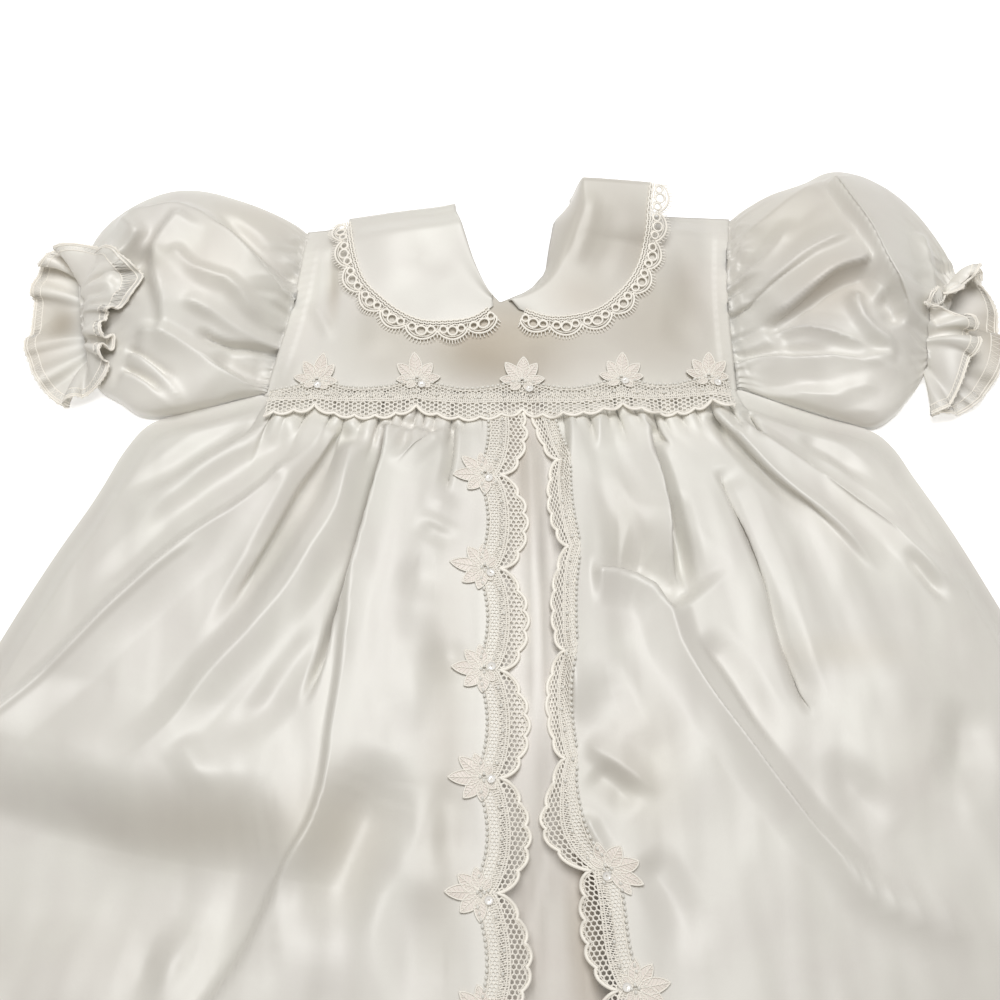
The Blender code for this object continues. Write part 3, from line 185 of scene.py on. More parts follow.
RIGHT_FOLDS = table(Fold, """
7 30 5 0.7 6 25 : 35,-13 33,-51 31,-91 32,-129 34,-172
3.5 9 4 0.8 4 16 : 49,-13 48,-25 47,-38
5 3.5 16 0.9 4 24 : 70,-13 71,-29 75,-48 78,-64 78,-91 81,-109
-7.5 6 3.5 0.7 4 20 : 73,-20 74,-35 78,-48 81,-64 84,-81 86,-96 89,-108
-4 10 4 0.5 10 20 : 80,-56 83,-71 86,-91 88,-105
-5 4 4 0.8 3 10 : 76,-14 78,-24 81,-33
3.2 26 30 0.1 14 14 : 49,-65 58,-60 71,-53
-12 34 6 0.2 24 8 : 46,-96 54,-96 66,-99 76,-106 84,-116
6.5 10 16 0.9 6 60 : 41,-100 52,-100 66,-103 75,-111 82,-133 94,-154 107,-174 123,-196 143,-222 155,-236
  171,-245 195,-253 220,-261
-4.5 14 5 0.3 14 30 : 90,-127 101,-142 112,-162 126,-184
-4.5 12 4 0.6 10 14 : 104,-43 110,-60 115,-76 124,-105 128,-129 134,-151 138,-166
-3.5 10 8 0.3 26 14 : 123,-100 128,-120 132,-139 138,-162
2 16 6 0.6 14 20 : 109,-44 115,-61 120,-78 129,-105 133,-129 141,-152
5.5 14 4 0.9 4 25 : 105,-10 119,-29 132,-45 143,-57 154,-67 170,-85 179,-96
-4 5 7 0.5 4 25 : 103,-13 115,-31 127,-47 138,-58 147,-67
5 9 10 0.85 8 30 : 116,-18 137,-35 157,-50 171,-60 188,-75 205,-93 220,-107
2.5 8 6 0.8 10 20 : 149,-35 167,-47 185,-61 200,-76
-6 4 5 0.7 3 12 : 122,-10 126,-20 129,-29
-3.5 9 7 0.3 10 20 : 145,-24 163,-36 181,-52
-3.5 6 5 0.6 10 14 : 190,-83 200,-96 210,-111
5 34 40 0 34 40 : 186,-120 178,-166 171,-218
-5 22 16 0.2 20 25 : 211,-152 205,-179 197,-205
-3 14 14 0.2 20 20 : 142,-179 154,-196 170,-214
2.6 12 7 0.8 10 16 : 36,-175 44,-182 54,-188 71,-201
-3 9 12 0.4 8 12 : 39,-188 49,-195 60,-207
2.5 6 4 0.9 6 10 : 36,-207 42,-219 48,-227
-3.5 14 14 0.4 12 20 : 60,-224 72,-241 84,-265
2 14 18 0.3 20 20 : 52,-129 59,-157 73,-181
-2.5 12 14 0.3 16 20 : 45,-138 50,-157 58,-174
6 26 22 0.4 40 5 : 78,-310 98,-450 112,-620
-6 18 18 0.3 40 5 : 135,-330 158,-460 172,-620
7 22 22 0.5 40 5 : 190,-330 235,-450 268,-610
-5 16 16 0.3 40 5 : 245,-330 290,-460 320,-605
6 16 16 0.5 40 5 : 290,-320 334,-450 366,-600
""")
UNDER_FOLDS = table(Fold, """
2.5 7 6 0.6 10 30 : 14,-25 15,-60 16,-89 17,-130 16,-180
-3 9 9 0.5 30 30 : 23,-165 21,-219 13,-253 8,-310
3 12 12 0.2 40 5 : 33,-215 42,-283 50,-400 52,-615
2.5 14 14 0.2 40 5 : 0,-300 6,-420 10,-615
-2 4 4 0.6 5 20 : 7,-8 8,-30 9,-52
-1.5 4 5 0.5 10 20 : 22,-14 23,-60 22,-110
""")
# A lap is a fold that hangs over: its high side is left of the way walked and moves over the
# low side, which moves under it and dips
Lap = namedtuple("Lap", "over under step dip high_width low_width fade_in fade_out points")
LAP_BAND = 1.1
SLEEVE_LAP_BAND = 2.0
LAP_FLOOR = 3.0
LAP_STEP = 5.0
LAP_POWER = 1.5
LEFT_LAPS = table(Lap, """
3 2.5 2.5 2.5 14 8 5 50 : -54,-19 -55,-38 -58,-55 -65,-83 -72,-110 -78,-136 -84,-157
2.2 1.8 1.5 1.5 12 10 30 8 : -125,-113 -115,-91 -100,-61 -86,-35 -78,-19
1.5 1.5 1.5 1 8 5 3 10 : -22,-20 -22,-35 -24,-50 -26,-58
1 0.9 0.8 0.7 8 6 10 3 : -49,-46 -41,-35 -31,-24
""")
RIGHT_LAPS = table(Lap, """
2.6 2.2 1.5 2.5 10 7 18 5 : 85,-106 80,-91 79,-73 77,-56 74,-38 72,-19
2.2 1.8 1.5 1.5 12 9 14 14 : 105,-45 110,-61 116,-76 124,-105 128,-129 135,-151 139,-166
2.2 1.8 1.2 1.2 12 9 4 40 : 104,-11 117,-30 130,-46 142,-58 152,-68 168,-85
2.4 1.8 1 2 10 14 10 14 : 79,-111 72,-105 65,-101 52,-98 43,-98
1.6 1.2 1.5 1.5 8 5 3 10 : 124,-11 127,-20 130,-29
1.6 1.2 1.2 1.5 8 5 3 8 : 77,-15 79,-24 82,-33
1.3 1 1.2 1 8 7 60 30 : 159,-239 143,-223 123,-197 107,-174 94,-155 82,-134
1 0.8 0.8 0.8 8 8 20 30 : 128,-27 144,-38 166,-57 188,-74 205,-92
""")
SLEEVE_LEFT_LAPS = table(Lap, """
2 1.8 1.2 1.6 12 9 8 20 : -107,50 -114,57 -133,76 -150,88
2 2 1.4 2 12 9 8 16 : -190,44 -186,50 -181,57 -177,65
2 1.7 1.2 1.8 12 10 14 30 : -121,2 -132,6 -146,14 -160,21
1.8 1.5 1 1.5 9 9 10 5 : -150,28 -136,24 -122,25 -106,24
1.5 1.5 1 1.2 8 7 12 6 : -159,1 -172,11 -186,20
1.5 1.5 1 1.2 8 7 12 6 : -164,-5 -175,3 -188,11
""")
SLEEVE_RIGHT_LAPS = table(Lap, """
2 2 1.2 2 14 10 8 14 : 170,115 177,95 186,73 191,57 200,40 204,32
2.6 2.2 1.6 2.4 12 12 10 8 : 135,34 151,44 168,56 185,61
1.8 1.5 1.2 1.4 12 9 30 10 : 189,10 179,12 168,14 147,15 132,18 115,17
1.5 1.3 1 1.2 10 9 12 12 : 185,18 171,23 158,28 150,32 136,30
1.6 1.5 1 1.3 10 8 5 24 : 115,43 125,46 135,53 150,62 161,68
""")

# Pleats where the skirt is gathered into the waist seam
Pleat = namedtuple("Pleat", "x length depth width")
PLEATS = table(Pleat, """
-114 24 2.7 4; -107 36 3.5 5; -99 21 3 4; -91 30 3.5 4; -80 24 4.1 4; -72 51 6.2 5; -64 21 4.3 3
-57 33 6.8 4; -50 18 4.3 3; -45 24 5.9 3; -40 18 4.1 3; -35 24 5.1 3; -30 18 3.5 3; -23 27 5.9 3
-16 18 3.5 3; -8 21 3.5 3; 29 27 4.1 3; 35 15 3.5 3; 42 24 5.9 3; 50 15 4.1 3; 56 24 5.9 4
64 15 3.8 3; 72 27 6.2 3; 77 21 4.6 3; 85 18 4.3 4; 92 21 4.3 3; 101 30 5.7 4; 110 24 4.1 4
117 18 2.7 3
""")
PLEAT_LEAN = 0.0032
PLEAT_LAP = 1.8
PLEAT_TOP = 2.0
PLEAT_SEAM_SHARE = 0.8
PLEAT_SPREAD = 0.5
PLEAT_POWER = 1.8
SHOULDER_LIFT = 1.8
SHOULDER_FROM = 114.0
SHOULDER_TO = 202.0
SHOULDER_SHARE = 0.86
SHOULDER_FADE_IN = 8.0
SHOULDER_FADE_OUT = 16.0
LACE_DEPTH = 10.0
TUCK_HEIGHT = 0.45
TUCK_PITCH = 2.6
TUCK_REACH = 7.0

# Bodice
BODICE_CROWN = 10.3
ARMHOLE_BOW = 3.0
SHOULDER_LEFT = (-101.0, 95.0)
SHOULDER_RIGHT = (121.0, 103.0)
SHOULDER_ROLL = 16.0
ARMHOLE_RISE = 25.0
NeckPoint = namedtuple("NeckPoint", "across x y")
NECKLINE = table(NeckPoint, """
0.33 -23.5 104.5; 0.365 -18 86; 0.4 -12.8 69; 0.44 -8.2 58; 0.5 0 48; 0.56 15 55; 0.59 23 65
0.615 25 79; 0.64 27.5 94; 0.665 33 107
""")
BODICE_FOLDS = table(Fold, """
-1.4 5 6 0.3 14 14 : -88,88 -87,70 -86,48
-1.8 24 24 0 20 20 : -38,30 -8,22 26,12
1 12 12 0.1 14 14 : -62,50 -60,16
1.2 5 6 0.6 8 12 : -97,52 -90,40 -84,26
-1 14 14 0.1 16 16 : 92,88 96,56 90,20
""")
SEAM_BAND = 7.0
SEAM_BAND_RISE = 0.5
SEAM_BAND_STEP = 0.8
PUCKER_PITCH = 4.6
PUCKER_HEIGHT = 0.12
BACK_OPENING_LEFT = [(2.0, 0.0), (-5.0, 48.0), (-14.0, 66.0), (-22.0, 84.0), (-27.0, 103.5)]
BACK_OPENING_RIGHT = [(3.2, 0.0), (6.0, 48.0), (21.0, 56.0), (29.0, 79.0), (37.0, 106.5)]

# Collar
CollarRow = namedtuple("CollarRow", "neck_x neck_y roll_x roll_y roll_z edge_x edge_y edge_z")
COLLAR_RIGHT_ROWS = table(CollarRow, """
37 110 43 109.5 31 78 109 27
31 102.5 43 96 29.5 76.7 97 23
27.5 92 39.5 84 26 75.5 84 17
25 79 35.5 74 22.5 71.4 68.5 0
23 66 30.3 62.9 20 63.6 55.5 0
18 58 23.5 55 18.5 49 42.5 0
10.5 52.5 14.5 50 17 27 38 0
4.2 49.2 5.6 48.2 16.2 9.5 43.5 0
""")
COLLAR_LEFT_NECK = [(-23.4, 104.0), (-18.0, 86.0), (-12.8, 69.2), (-8.2, 58.2), (-4.1, 50.4)]
COLLAR_LEFT_EDGE = [(-79.0, 97.0), (-77.2, 85.7), (-74.6, 72.7), (-68.9, 58.8), (-61.0, 50.2),
                    (-53.2, 43.3), (-40.4, 36.5), (-25.2, 36.0), (-10.1, 39.9), (-3.4, 45.5)]
COLLAR_FOLDS = table(Fold, """
1 16 16 0 14 14 : -58,96 -56,76 -48,54
-0.9 12 12 0 14 14 : -40,96 -34,76 -26,60
1.4 6 9 0.6 12 12 : 48,104 45,84 36,64
-0.9 10 10 0.1 12 12 : 58,100 56,80 46,58
""")
COLLAR_SHOULDER_LIFT = 6.5
COLLAR_TURNS = [1.0, 0.8, 0.6, 0.4, 0.2]
COLLAR_TURN_DEPTH = 6.0
COLLAR_TURN_END_Z = 1.0
COLLAR_ROLL = 2.0
COLLAR_ROLL_SHARE = 0.12
COLLAR_SEAT = 0.5
COLLAR_LEFT_LIFT = 1.0
COLLAR_PUFF = 1.5
COLLAR_RIGHT_FALL = 1.25

# Sleeves
SleeveRow = namedtuple("SleeveRow", "top_x top_y low_x low_y height bow")
SLEEVE_LEFT_ROWS = table(SleeveRow, """
-101.6 95 -119.3 2 7.6 3
-108 99.5 -125 0.2 15.5 2
-120 104.5 -135 -2.4 26 0
-138 110.5 -149 -6.4 33 0
-158 115.5 -165 -10.4 34 0
-176 114 -179 -10 33 0
-194 105 -191 -2.5 29 0
-208 92 -200 3 22 0
-214.5 77 -205.5 10 16 0
-216.5 65 -208.5 20 13 0
""")
SLEEVE_RIGHT_ROWS = table(SleeveRow, """
121.8 103 121.4 5 7.6 3
129 108.5 128 2.2 15.5 2
142 115 141 -3 26 0
158 119.5 156 -8.4 33 0
172 126.5 172 -13.6 35 0
186 125.5 186 -16.6 35 0
203 116 197 -10 33 0
218 102 204 -2 27 0
230 83 209 4 20 0
236.5 66 214 12 14 0
""")
# A frill's columns go round the sleeve's end from the neck side over the front to the back.
# Each has three points x,y,z: where it is gathered, one on the way and one on its free edge.
Frill = namedtuple("Frill", "gather middle edge")
LEFT_FRILL = table(Frill, """
-216,65,4 -226,70,7 -237,73,9
-216,64,8 -222,71,15 -228,76,17
-214,58,12 -212,66,21 -206,74,25
-212,53,13 -204,60,24 -188,64,31
-211,49,14 -203,53,24 -179,52,33
-210,44,14 -204,43,23 -188,38,31
-210,38,14 -205,37,20 -195,34,27
-209,31,13 -204,29,19 -194,26,25
-208,25,12 -203,22,17 -194,17,22
-208,21,9 -204,15,14 -196,6,17
-208,19,5 -208,9,9 -207,-1,9
-208,20,2 -214,9,4 -220,-3,4
-209,25,1 -221,15,3 -232,8,4
-210,32,1 -226,28,4 -240,24,4
-211,42,1 -227,42,4 -241,41,4
-213,52,1 -228,55,4 -241,57,4
-215,60,1 -227,65,4 -239,70,5
""")
RIGHT_FRILL = table(Frill, """
235,65,4 240,64,8 247,61,9
232,62,9 236,63,17 242,63,18
228,57,12 232,58,21 238,58,22
223,51,13 226,52,23 230,51,24
219,46,14 219,46,23 216,44,25
216,41,14 213,42,22 209,42,25
215,37,14 220,38,20 226,39,21
214,32,13 225,33,19 236,34,18
214,27,13 225,25,19 236,22,18
214,21,11 223,15,17 231,9,16
214,15,8 219,3,12 224,-6,11
214,12,4 214,0,6 215,-11,6
215,13,2 222,2,4 229,-9,4
216,20,1 229,9,4 242,0,4
218,30,1 235,22,4 251,15,4
222,42,1 239,38,4 255,34,4
228,54,1 242,52,4 254,49,4
""")
FRILL_WAVES = 10
FRILL_DEPTH = 5.6
FRILL_ROWS = 22
FRILL_STEPS = 300
FRILL_FRONT = (0.6, 9.4)
FRILL_REST = 0.8
FRILL_OPEN = 2.4
# Cords of its edging: rows back from the edge and radius
CUFF_CORDS = [(0, 0.55), (1, 0.4), (4, 0.32)]
CUFF_LOOP = 1.1
DOME_POWER = 0.62
LOW_SIDE = 0.56
LOW_POWER = 0.3
HIGH_SIDE_FROM = 0.8
HIGH_SIDE_FADE = 0.85
SLEEVE_PRESS = 0.94
SLEEVE_RINGS = 84
SLEEVE_PLEATS = 19
SLEEVE_FLAT_STEPS = 16
SLEEVE_DOME_STEPS = 150
SLEEVE_PLEAT_HEIGHT = 1.0
ARMHOLE_PLEAT_REACH = 0.06
CUFF_PLEAT_REACH = 0.09
CUFF_PLEAT_GAIN = 1.3
SEAM_TUCK = 2.2
SEAM_TUCK_SHARE = 0.86
# Small gathers beside a seam: seed, count, shortest, longest, depth, the two ends of the line
# that they start on and the point that they run toward
Fan = namedtuple("Fan", "seed count short long depth start end aim")
LEFT_FANS = [
    Fan(41, 15, 7, 24, 1.9, (-103, 94), (-116, 10), (-190, 48)),
    Fan(42, 15, 14, 42, 3.2, (-216, 68), (-208, 12), (-150, 44)),
]
RIGHT_FANS = [
    Fan(43, 15, 8, 28, 2.2, (124, 100), (124, 10), (205, 52)),
    Fan(44, 15, 14, 42, 3.2, (236, 74), (214, 6), (160, 48)),
]
SLEEVE_LEFT_FOLDS = table(Fold, """
8 24 7 1 8 16 : -105,48 -114,57 -133,76 -152,89 -162,94 -182,92 -199,93
-7 5 10 0.6 8 20 : -105,62 -119,70 -135,82 -149,90
6 18 6 1 6 14 : -159,90 -165,81 -172,70 -172,61 -169,49 -166,38 -166,24 -167,14
-8.5 18 6 0.5 8 8 : -176,71 -182,64 -187,58 -190,52 -186,43
5 3 18 0.9 8 8 : -176,81 -183,73 -191,65 -195,58
4.5 12 10 0.9 8 10 : -196,92 -186,81 -178,72
4 6 8 0.8 6 12 : -164,70 -153,58 -131,50 -119,32
3.5 8 5 0.8 8 12 : -158,42 -143,36 -131,30 -116,27 -104,26
-7.5 3 5 0.8 6 6 : -150,28 -136,23 -122,24 -106,23
-7 12 6 0.5 8 8 : -143,18 -129,10 -116,10
8.5 7 28 1 10 12 : -182,27 -164,23 -146,15 -132,7 -122,3 -115,1
4.5 5 10 0.8 8 10 : -107,21 -108,9 -120,-6 -135,-19
4 5 7 0.95 5 12 : -186,17 -175,12 -162,-1 -153,-12
-5 3 4 0.8 5 10 : -186,21 -172,12 -160,3
4 6 9 0.95 5 12 : -190,7 -176,1 -163,-9 -146,-20
-5 3 4 0.8 5 10 : -188,12 -174,4 -165,-4
-4 14 12 0.2 10 12 : -147,0 -139,-7 -132,-9
2.5 10 10 0.4 8 10 : -203,74 -197,66 -193,57
""")
SLEEVE_RIGHT_FOLDS = table(Fold, """
9 24 6 1 6 10 : 169,116 177,95 186,73 191,57 200,40 204,30
5 10 14 0.9 6 14 : 116,67 126,85 137,93 157,108 168,115
4.5 7 9 0.8 5 14 : 117,56 130,64 142,78 149,90
5 12 5 0.85 5 16 : 115,45 125,49 135,56 150,66 161,71 181,80
-6 4 4 0.7 4 10 : 115,54 124,56 132,62
-5 3 4 0.7 4 12 : 114,42 126,45 138,47
-4.5 3 4 0.7 4 12 : 115,30 124,32 134,34
5 18 3 0.8 10 6 : 132,36 150,47 168,58 186,63
-10 6 22 0.4 8 8 : 133,30 151,40 168,51 187,57
-8 10 10 0.4 6 6 : 188,46 194,39 198,29
6 6 6 0.8 6 10 : 179,49 176,42 180,30 192,21 198,16
6 12 5 0.9 8 14 : 135,29 150,31 158,28 171,22 185,18
6 8 16 0.95 6 14 : 114,17 132,18 147,15 168,13 192,9 203,4
-5 4 7 0.7 6 12 : 117,21 132,22 146,21 166,17
4 8 8 0.7 8 10 : 134,-9 148,-2 164,-5 178,0 188,-2
-5 4 5 0.8 8 10 : 137,-16 165,-15 189,-16
5 5 10 0.95 8 10 : 214,85 216,68 218,54 219,39
-4 8 8 0.5 8 10 : 226,77 228,64 231,52
4 5 5 0.9 5 10 : 197,16 185,13 176,14
-3 10 10 0.4 8 10 : 126,5 145,3 164,4
""")

# Lace of the waist and the front edges: u runs along it, v across it to the scallops
REPEAT = 48.0
FRONT_FROM = -13.0
FRONT_TO = -608.0
LEFT_FLOWER_Y = -49.0
RIGHT_FLOWER_Y = -41.0
RIGHT_BARE_TO = -215.0
TUCKED_SHARE = 0.42
TUCKED_FADE = 25.0
SCALLOP_POWER = 0.6
SMALL_ARCS = 5
SMALL_ARC_DEPTH = 2.1
NET_CELL = 2.3
THREAD = 0.42
FINE_THREAD = 0.27
CORD = 0.8
LaceShape = namedtuple("LaceShape", "notch depth cord cord_arc bead bead_arc flower")
FRONT_LACE = LaceShape(-0.2, 11.2, -2.2, 6.4, -10.0, 4.4, -7.0)
WAIST_SHAPE = LaceShape(6.0, 6.5, 2.2, 2.6, -9.0, 6.0, -7.5)
BEAD_PITCH = 2.5
BEAD_RADIUS = 0.75
BEAD_STRETCH = 0.35
SEQUIN_RADIUS = 1.9
# Rings of a sequin: share of its radius and rise
SEQUIN_CUP = [(0.22, 0.0), (0.55, 0.05), (0.85, 0.22), (1.0, 0.5)]
Petal = namedtuple("Petal", "turn length width")
PETALS = table(Petal, """
0 15.5 6.4; 40 13 6; -40 13 6; 80 11.5 5.2; -80 11.5 5.2; 128 7 4; -128 7 4
""")
WAIST_FLOWERS_X = [-91.0, -41.0, 11.0, 60.0, 104.0]
WAIST_CORD_Y = -5.0
WAIST_CORD_V = 3.0
WAIST_FROM = -116.0
WAIST_TO = 117.0
LACE_FROM_V = -30.0
LACE_TO_V = 15.0
BED_STEP = 1.5
FRONT_BED_STEP = 2.0
BED_GAP = 0.2
LACE_FREE_FROM = -0.8
LACE_DROOP = 0.3
LACE_CURL = 0.03
NET_FROM_V = -12.0
NET_WIDTH = 28.0
PETAL_ROOT = 1.2
PEARL_RING = 1.5

# Collar lace
COLLAR_LACE_RISE = 0.4
COLLAR_LACE_FALL = 0.16
COLLAR_SCALLOP = 15.0
COLLAR_BAND = 5.2
COLLAR_ARC = 4.6
PICOTS = 12

SATIN_LIGHT = (0.735, 0.72, 0.665)
SATIN_DARK = (0.70, 0.675, 0.63)
UNDER_LIGHT = (0.715, 0.685, 0.635)
UNDER_DARK = (0.67, 0.63, 0.585)
LACE_LIGHT = (0.90, 0.865, 0.79)
LACE_DARK = (0.86, 0.82, 0.745)
PETAL_LIGHT = (0.80, 0.74, 0.68)
PETAL_DARK = (0.72, 0.65, 0.59)
# Colour of the painted glow of the lace threads
LACE_PAINTED_GLOW = (1.0, 0.93, 0.82)
# Soft spots of painted shade (change below 0) and painted light (change above 0) laid on the cloth's
# colour: centre x, y, width, depth, change and how much warmer the spot is
ShadingSpot = namedtuple("ShadingSpot", "x y wide deep change warmth")
# Painted shade on the bodice, darkest in the middle below the collar, on the right side and beside the
# left armhole; the two lighter strips along the armholes are where the seam cloth lies doubled
BODICE_PAINTED_SHADING = table(ShadingSpot, """
10 40 160 90 -0.17 0.03; 6 20 64 40 -0.24 0.06; -14 26 34 30 -0.1 0.03; -56 26 34 38 -0.14 0.03
18 40 40 26 -0.07 0.02; 80 36 50 60 -0.2 0.04; 98 66 14 38 -0.12 0.02; -85 58 6 32 -0.12 0.04
-100 60 15 70 0.12 0; 113 66 11 70 0.14 0
""")
# Painted shade where the front panels' folds and hollows lie in shade, warmer where darker, and painted
# light on stretches that catch the light
PANEL_LEFT_PAINTED_SHADING = table(ShadingSpot, """
-128 -212 80 26 -0.09 0.03; -70 -215 34 44 -0.07 0.03; -66 -22 60 16 0.09 0
-180 -265 90 46 -0.05 0.01; -24 -190 19 150 -0.16 0.03; -86 -68 18 36 0.09 0; -102 -50 30 56 0.06 0
""")
# Painted shade and painted light of the right front panel
PANEL_RIGHT_PAINTED_SHADING = table(ShadingSpot, """
84 -22 60 18 0.13 0; 60 -74 24 34 -0.12 0.02; 180 -66 70 46 0.12 0; 44 -190 22 44 -0.12 0.02
155 -135 42 14 -0.06 0.03; 66 -190 24 50 -0.09 0.03; 200 -150 36 80 0.04 0; 225 -262 40 40 0.07 0
180 -190 24 40 0.09 0
""")
# Painted shade on the underskirt where it lies deep in the gap between the open fronts, warmer where
# darkest
UNDER_PAINTED_SHADING = table(ShadingSpot, """
38 -240 14 110 -0.3 0.08; 20 -262 30 70 -0.06 0.02; 12 -50 12 50 -0.18 0.04
24 -110 10 60 -0.08 0.02
""")
# Painted shade on the face of the right collar, which tilts away from the light
COLLAR_RIGHT_PAINTED_SHADING = table(ShadingSpot, """
50 80 80 80 -0.17 0.04; 40 48 26 18 -0.09 0.03; 80 66 20 36 -0.1 0.03
""")
# Painted light on the flat left collar
COLLAR_LEFT_PAINTED_SHADING = table(ShadingSpot, """
-50 75 60 50 0.06 0
""")
# Painted light on the sleeves' lower sides and painted shade on their upper parts
SLEEVE_LEFT_PAINTED_SHADING = table(ShadingSpot, """
-165 8 60 34 0.1 0; -206 26 20 30 0.08 0; -172 -10 40 20 0.09 0; -176 60 22 30 -0.06 0.02
-125 96 40 30 -0.06 0.03; -145 60 40 36 -0.04 0.03
""")
# Painted light and painted shade of the right sleeve
SLEEVE_RIGHT_PAINTED_SHADING = table(ShadingSpot, """
172 -2 66 34 0.1 0; 150 88 54 50 -0.13 0.04; 166 48 34 22 -0.08 0.04; 226 92 30 40 -0.06 0.02
""")
# Painted shade in the hollows inside the frills, warmer where darker, and painted light on their upper
# flaps
CUFF_LEFT_PAINTED_SHADING = table(ShadingSpot, """
-244 34 40 60 -0.08 0.06; -224 42 12 18 -0.32 0.05; -204 60 30 26 0.18 0; -228 70 26 18 0.2 0
-203 26 14 14 0.14 0
""")
# Painted shade and painted light of the right frill
CUFF_RIGHT_PAINTED_SHADING = table(ShadingSpot, """
264 26 42 60 -0.32 0.09; 220 46 26 34 0.16 0; 230 58 24 26 0.18 0
""")
PEARL = (0.88, 0.86, 0.80)
SEQUIN = (0.90, 0.88, 0.84)


# Curves and heights

def smooth_step(q):
    q = np.clip(q, 0.0, 1.0)
    return q * q * (3.0 - 2.0 * q)


def soft_floor(value, floor):
    """The larger of the two, with a rounded change from one to the other."""
    return floor + FLOOR_ROUND * np.logaddexp(0.0, (value - floor) / FLOOR_ROUND)


def unit(vectors):
    return vectors / np.maximum(np.linalg.norm(vectors, axis=-1, keepdims=True), 1e-9)


def curve_at(t, knots, values):
    """Smooth curve through a short table of values."""
    t, knots, values = (np.asarray(a, float) for a in (t, knots, values))
    slope = np.gradient(values, knots)
    i = np.clip(np.searchsorted(knots, t) - 1, 0, len(knots) - 2)
    step = knots[i + 1] - knots[i]
    q = np.clip((t - knots[i]) / step, 0.0, 1.0)
    return (values[i] * (1 - q) ** 2 * (1 + 2 * q) + values[i + 1] * q ** 2 * (3 - 2 * q)
            + slope[i] * step * q * (1 - q) ** 2 - slope[i + 1] * step * q ** 2 * (1 - q))


def table_at(rows, key, column, t):
    pairs = sorted((getattr(row, key), getattr(row, column)) for row in rows)
    return curve_at(t, [p[0] for p in pairs], [p[1] for p in pairs])


def values_at(rows, q):
    """Every column of a table whose rows are evenly spaced, at the shares q of its length."""
    knots = np.linspace(0.0, 1.0, len(rows))
    return {name: curve_at(q, knots, [getattr(row, name) for row in rows])
            for name in rows[0]._fields}


def along_points(points, q):
    """Points at fractions q of the length of a smooth line through points."""
    points = np.asarray(points, float)
    run = np.concatenate([[0.0], np.cumsum(np.linalg.norm(np.diff(points, axis=0), axis=1))])
    knots = run / run[-1]
    return np.stack([curve_at(q, knots, points[:, k]) for k in range(points.shape[1])], axis=-1)


def line_length(points):
    return float(np.linalg.norm(np.diff(np.asarray(points, float), axis=0), axis=1).sum())


def line_distance(x, y, path):
    """Distance to a path, the side (1 is the left), the length walked and its left normal."""
    best = np.full(x.shape, 1e9)
    side = np.ones(x.shape)
    walked = np.zeros(x.shape)
    normal = np.zeros(x.shape + (2,))
    start = 0.0
    for (ax, ay), (bx, by) in zip(path[:-1], path[1:]):
        length = math.hypot(bx - ax, by - ay)
        ux, uy = (bx - ax) / length, (by - ay) / length
        along = np.clip((x - ax) * ux + (y - ay) * uy, 0.0, length)
        away = np.hypot(x - ax - along * ux, y - ay - along * uy)
        nearer = away < best
        cross = ux * (y - ay) - uy * (x - ax)
        side = np.where(nearer, np.where(cross >= 0, 1.0, -1.0), side)
        walked = np.where(nearer, start + along, walked)
        normal[nearer] = (-uy, ux)
        best = np.minimum(best, away)
        start += length
    return best, side, walked, start, normal


def beside(x, y, points, reach, step):
    """Which plan points are near the smooth line through points, and how they lie beside it."""
    path = along_points(points, np.linspace(0.0, 1.0, max(3, int(line_length(points) / step))))
    low, high = path.min(0) - reach, path.max(0) + reach
    near = (x > low[0]) & (x < high[0]) & (y > low[1]) & (y < high[1])
    return near, line_distance(x[near], y[near], path)


def end_fade(row, walked, length):
    return smooth_step(walked / row.fade_in) * smooth_step((length - walked) / row.fade_out)


def fold_height(x, y, folds):
    """Sum of the ridges and troughs of a table at the plan points x, y."""
    x, y = np.broadcast_arrays(np.asarray(x, float), np.asarray(y, float))
    total = np.zeros(x.shape)
    for fold in folds:
        near, (away, side, walked, length, _) = beside(
            x, y, fold.points, max(fold.left, fold.right), FOLD_STEP)
        t = np.clip(away / np.where(side > 0, fold.left, fold.right), 0.0, 1.0)
        round_one = 1.0 - smooth_step(t)
        sharp_one = (1.0 - t) ** CREST_POWER
        profile = (1.0 - fold.crest) * round_one + fold.crest * sharp_one
        total[near] += fold.height * profile * end_fade(fold, walked, length)
    return total


def lapped(grid, laps, band=LAP_BAND, floor=None):
    """The grid with its laps; with floor, what lies below that height stays as it is."""
    grid = grid.copy()
    x, y = grid[..., 0].copy(), grid[..., 1].copy()
    for lap in laps:
        near, (away, side, walked, length, normal) = beside(
            x, y, lap.points, max(lap.high_width, lap.low_width), LAP_STEP)
        d = away * side
        fade = end_fade(lap, walked, length)
        if floor is not None:
            fade = fade * smooth_step((grid[near][:, 2] - floor) / floor)
        on_top = smooth_step((d + band) / (2.0 * band))
        above = on_top * (1.0 - np.clip(d / lap.high_width, 0.0, 1.0)) ** LAP_POWER
        below = (1.0 - on_top) * (1.0 - np.clip(-d / lap.low_width, 0.0, 1.0)) ** LAP_POWER
        shift = fade * (lap.under * below - lap.over * above)
        rise = fade * (lap.step * above - lap.dip * below)
        grid[near] += np.concatenate([shift[:, None] * normal, rise[:, None]], axis=1)
    return grid


def blended(values, i, i2, j, j2, a, b):
    """Values of a grid at the shares a from row i to i2 and b from column j to j2."""
    near = values[i, j] * (1 - a) + values[i2, j] * a
    far = values[i, j2] * (1 - a) + values[i2, j2] * a
    return near * (1 - b) + far * b


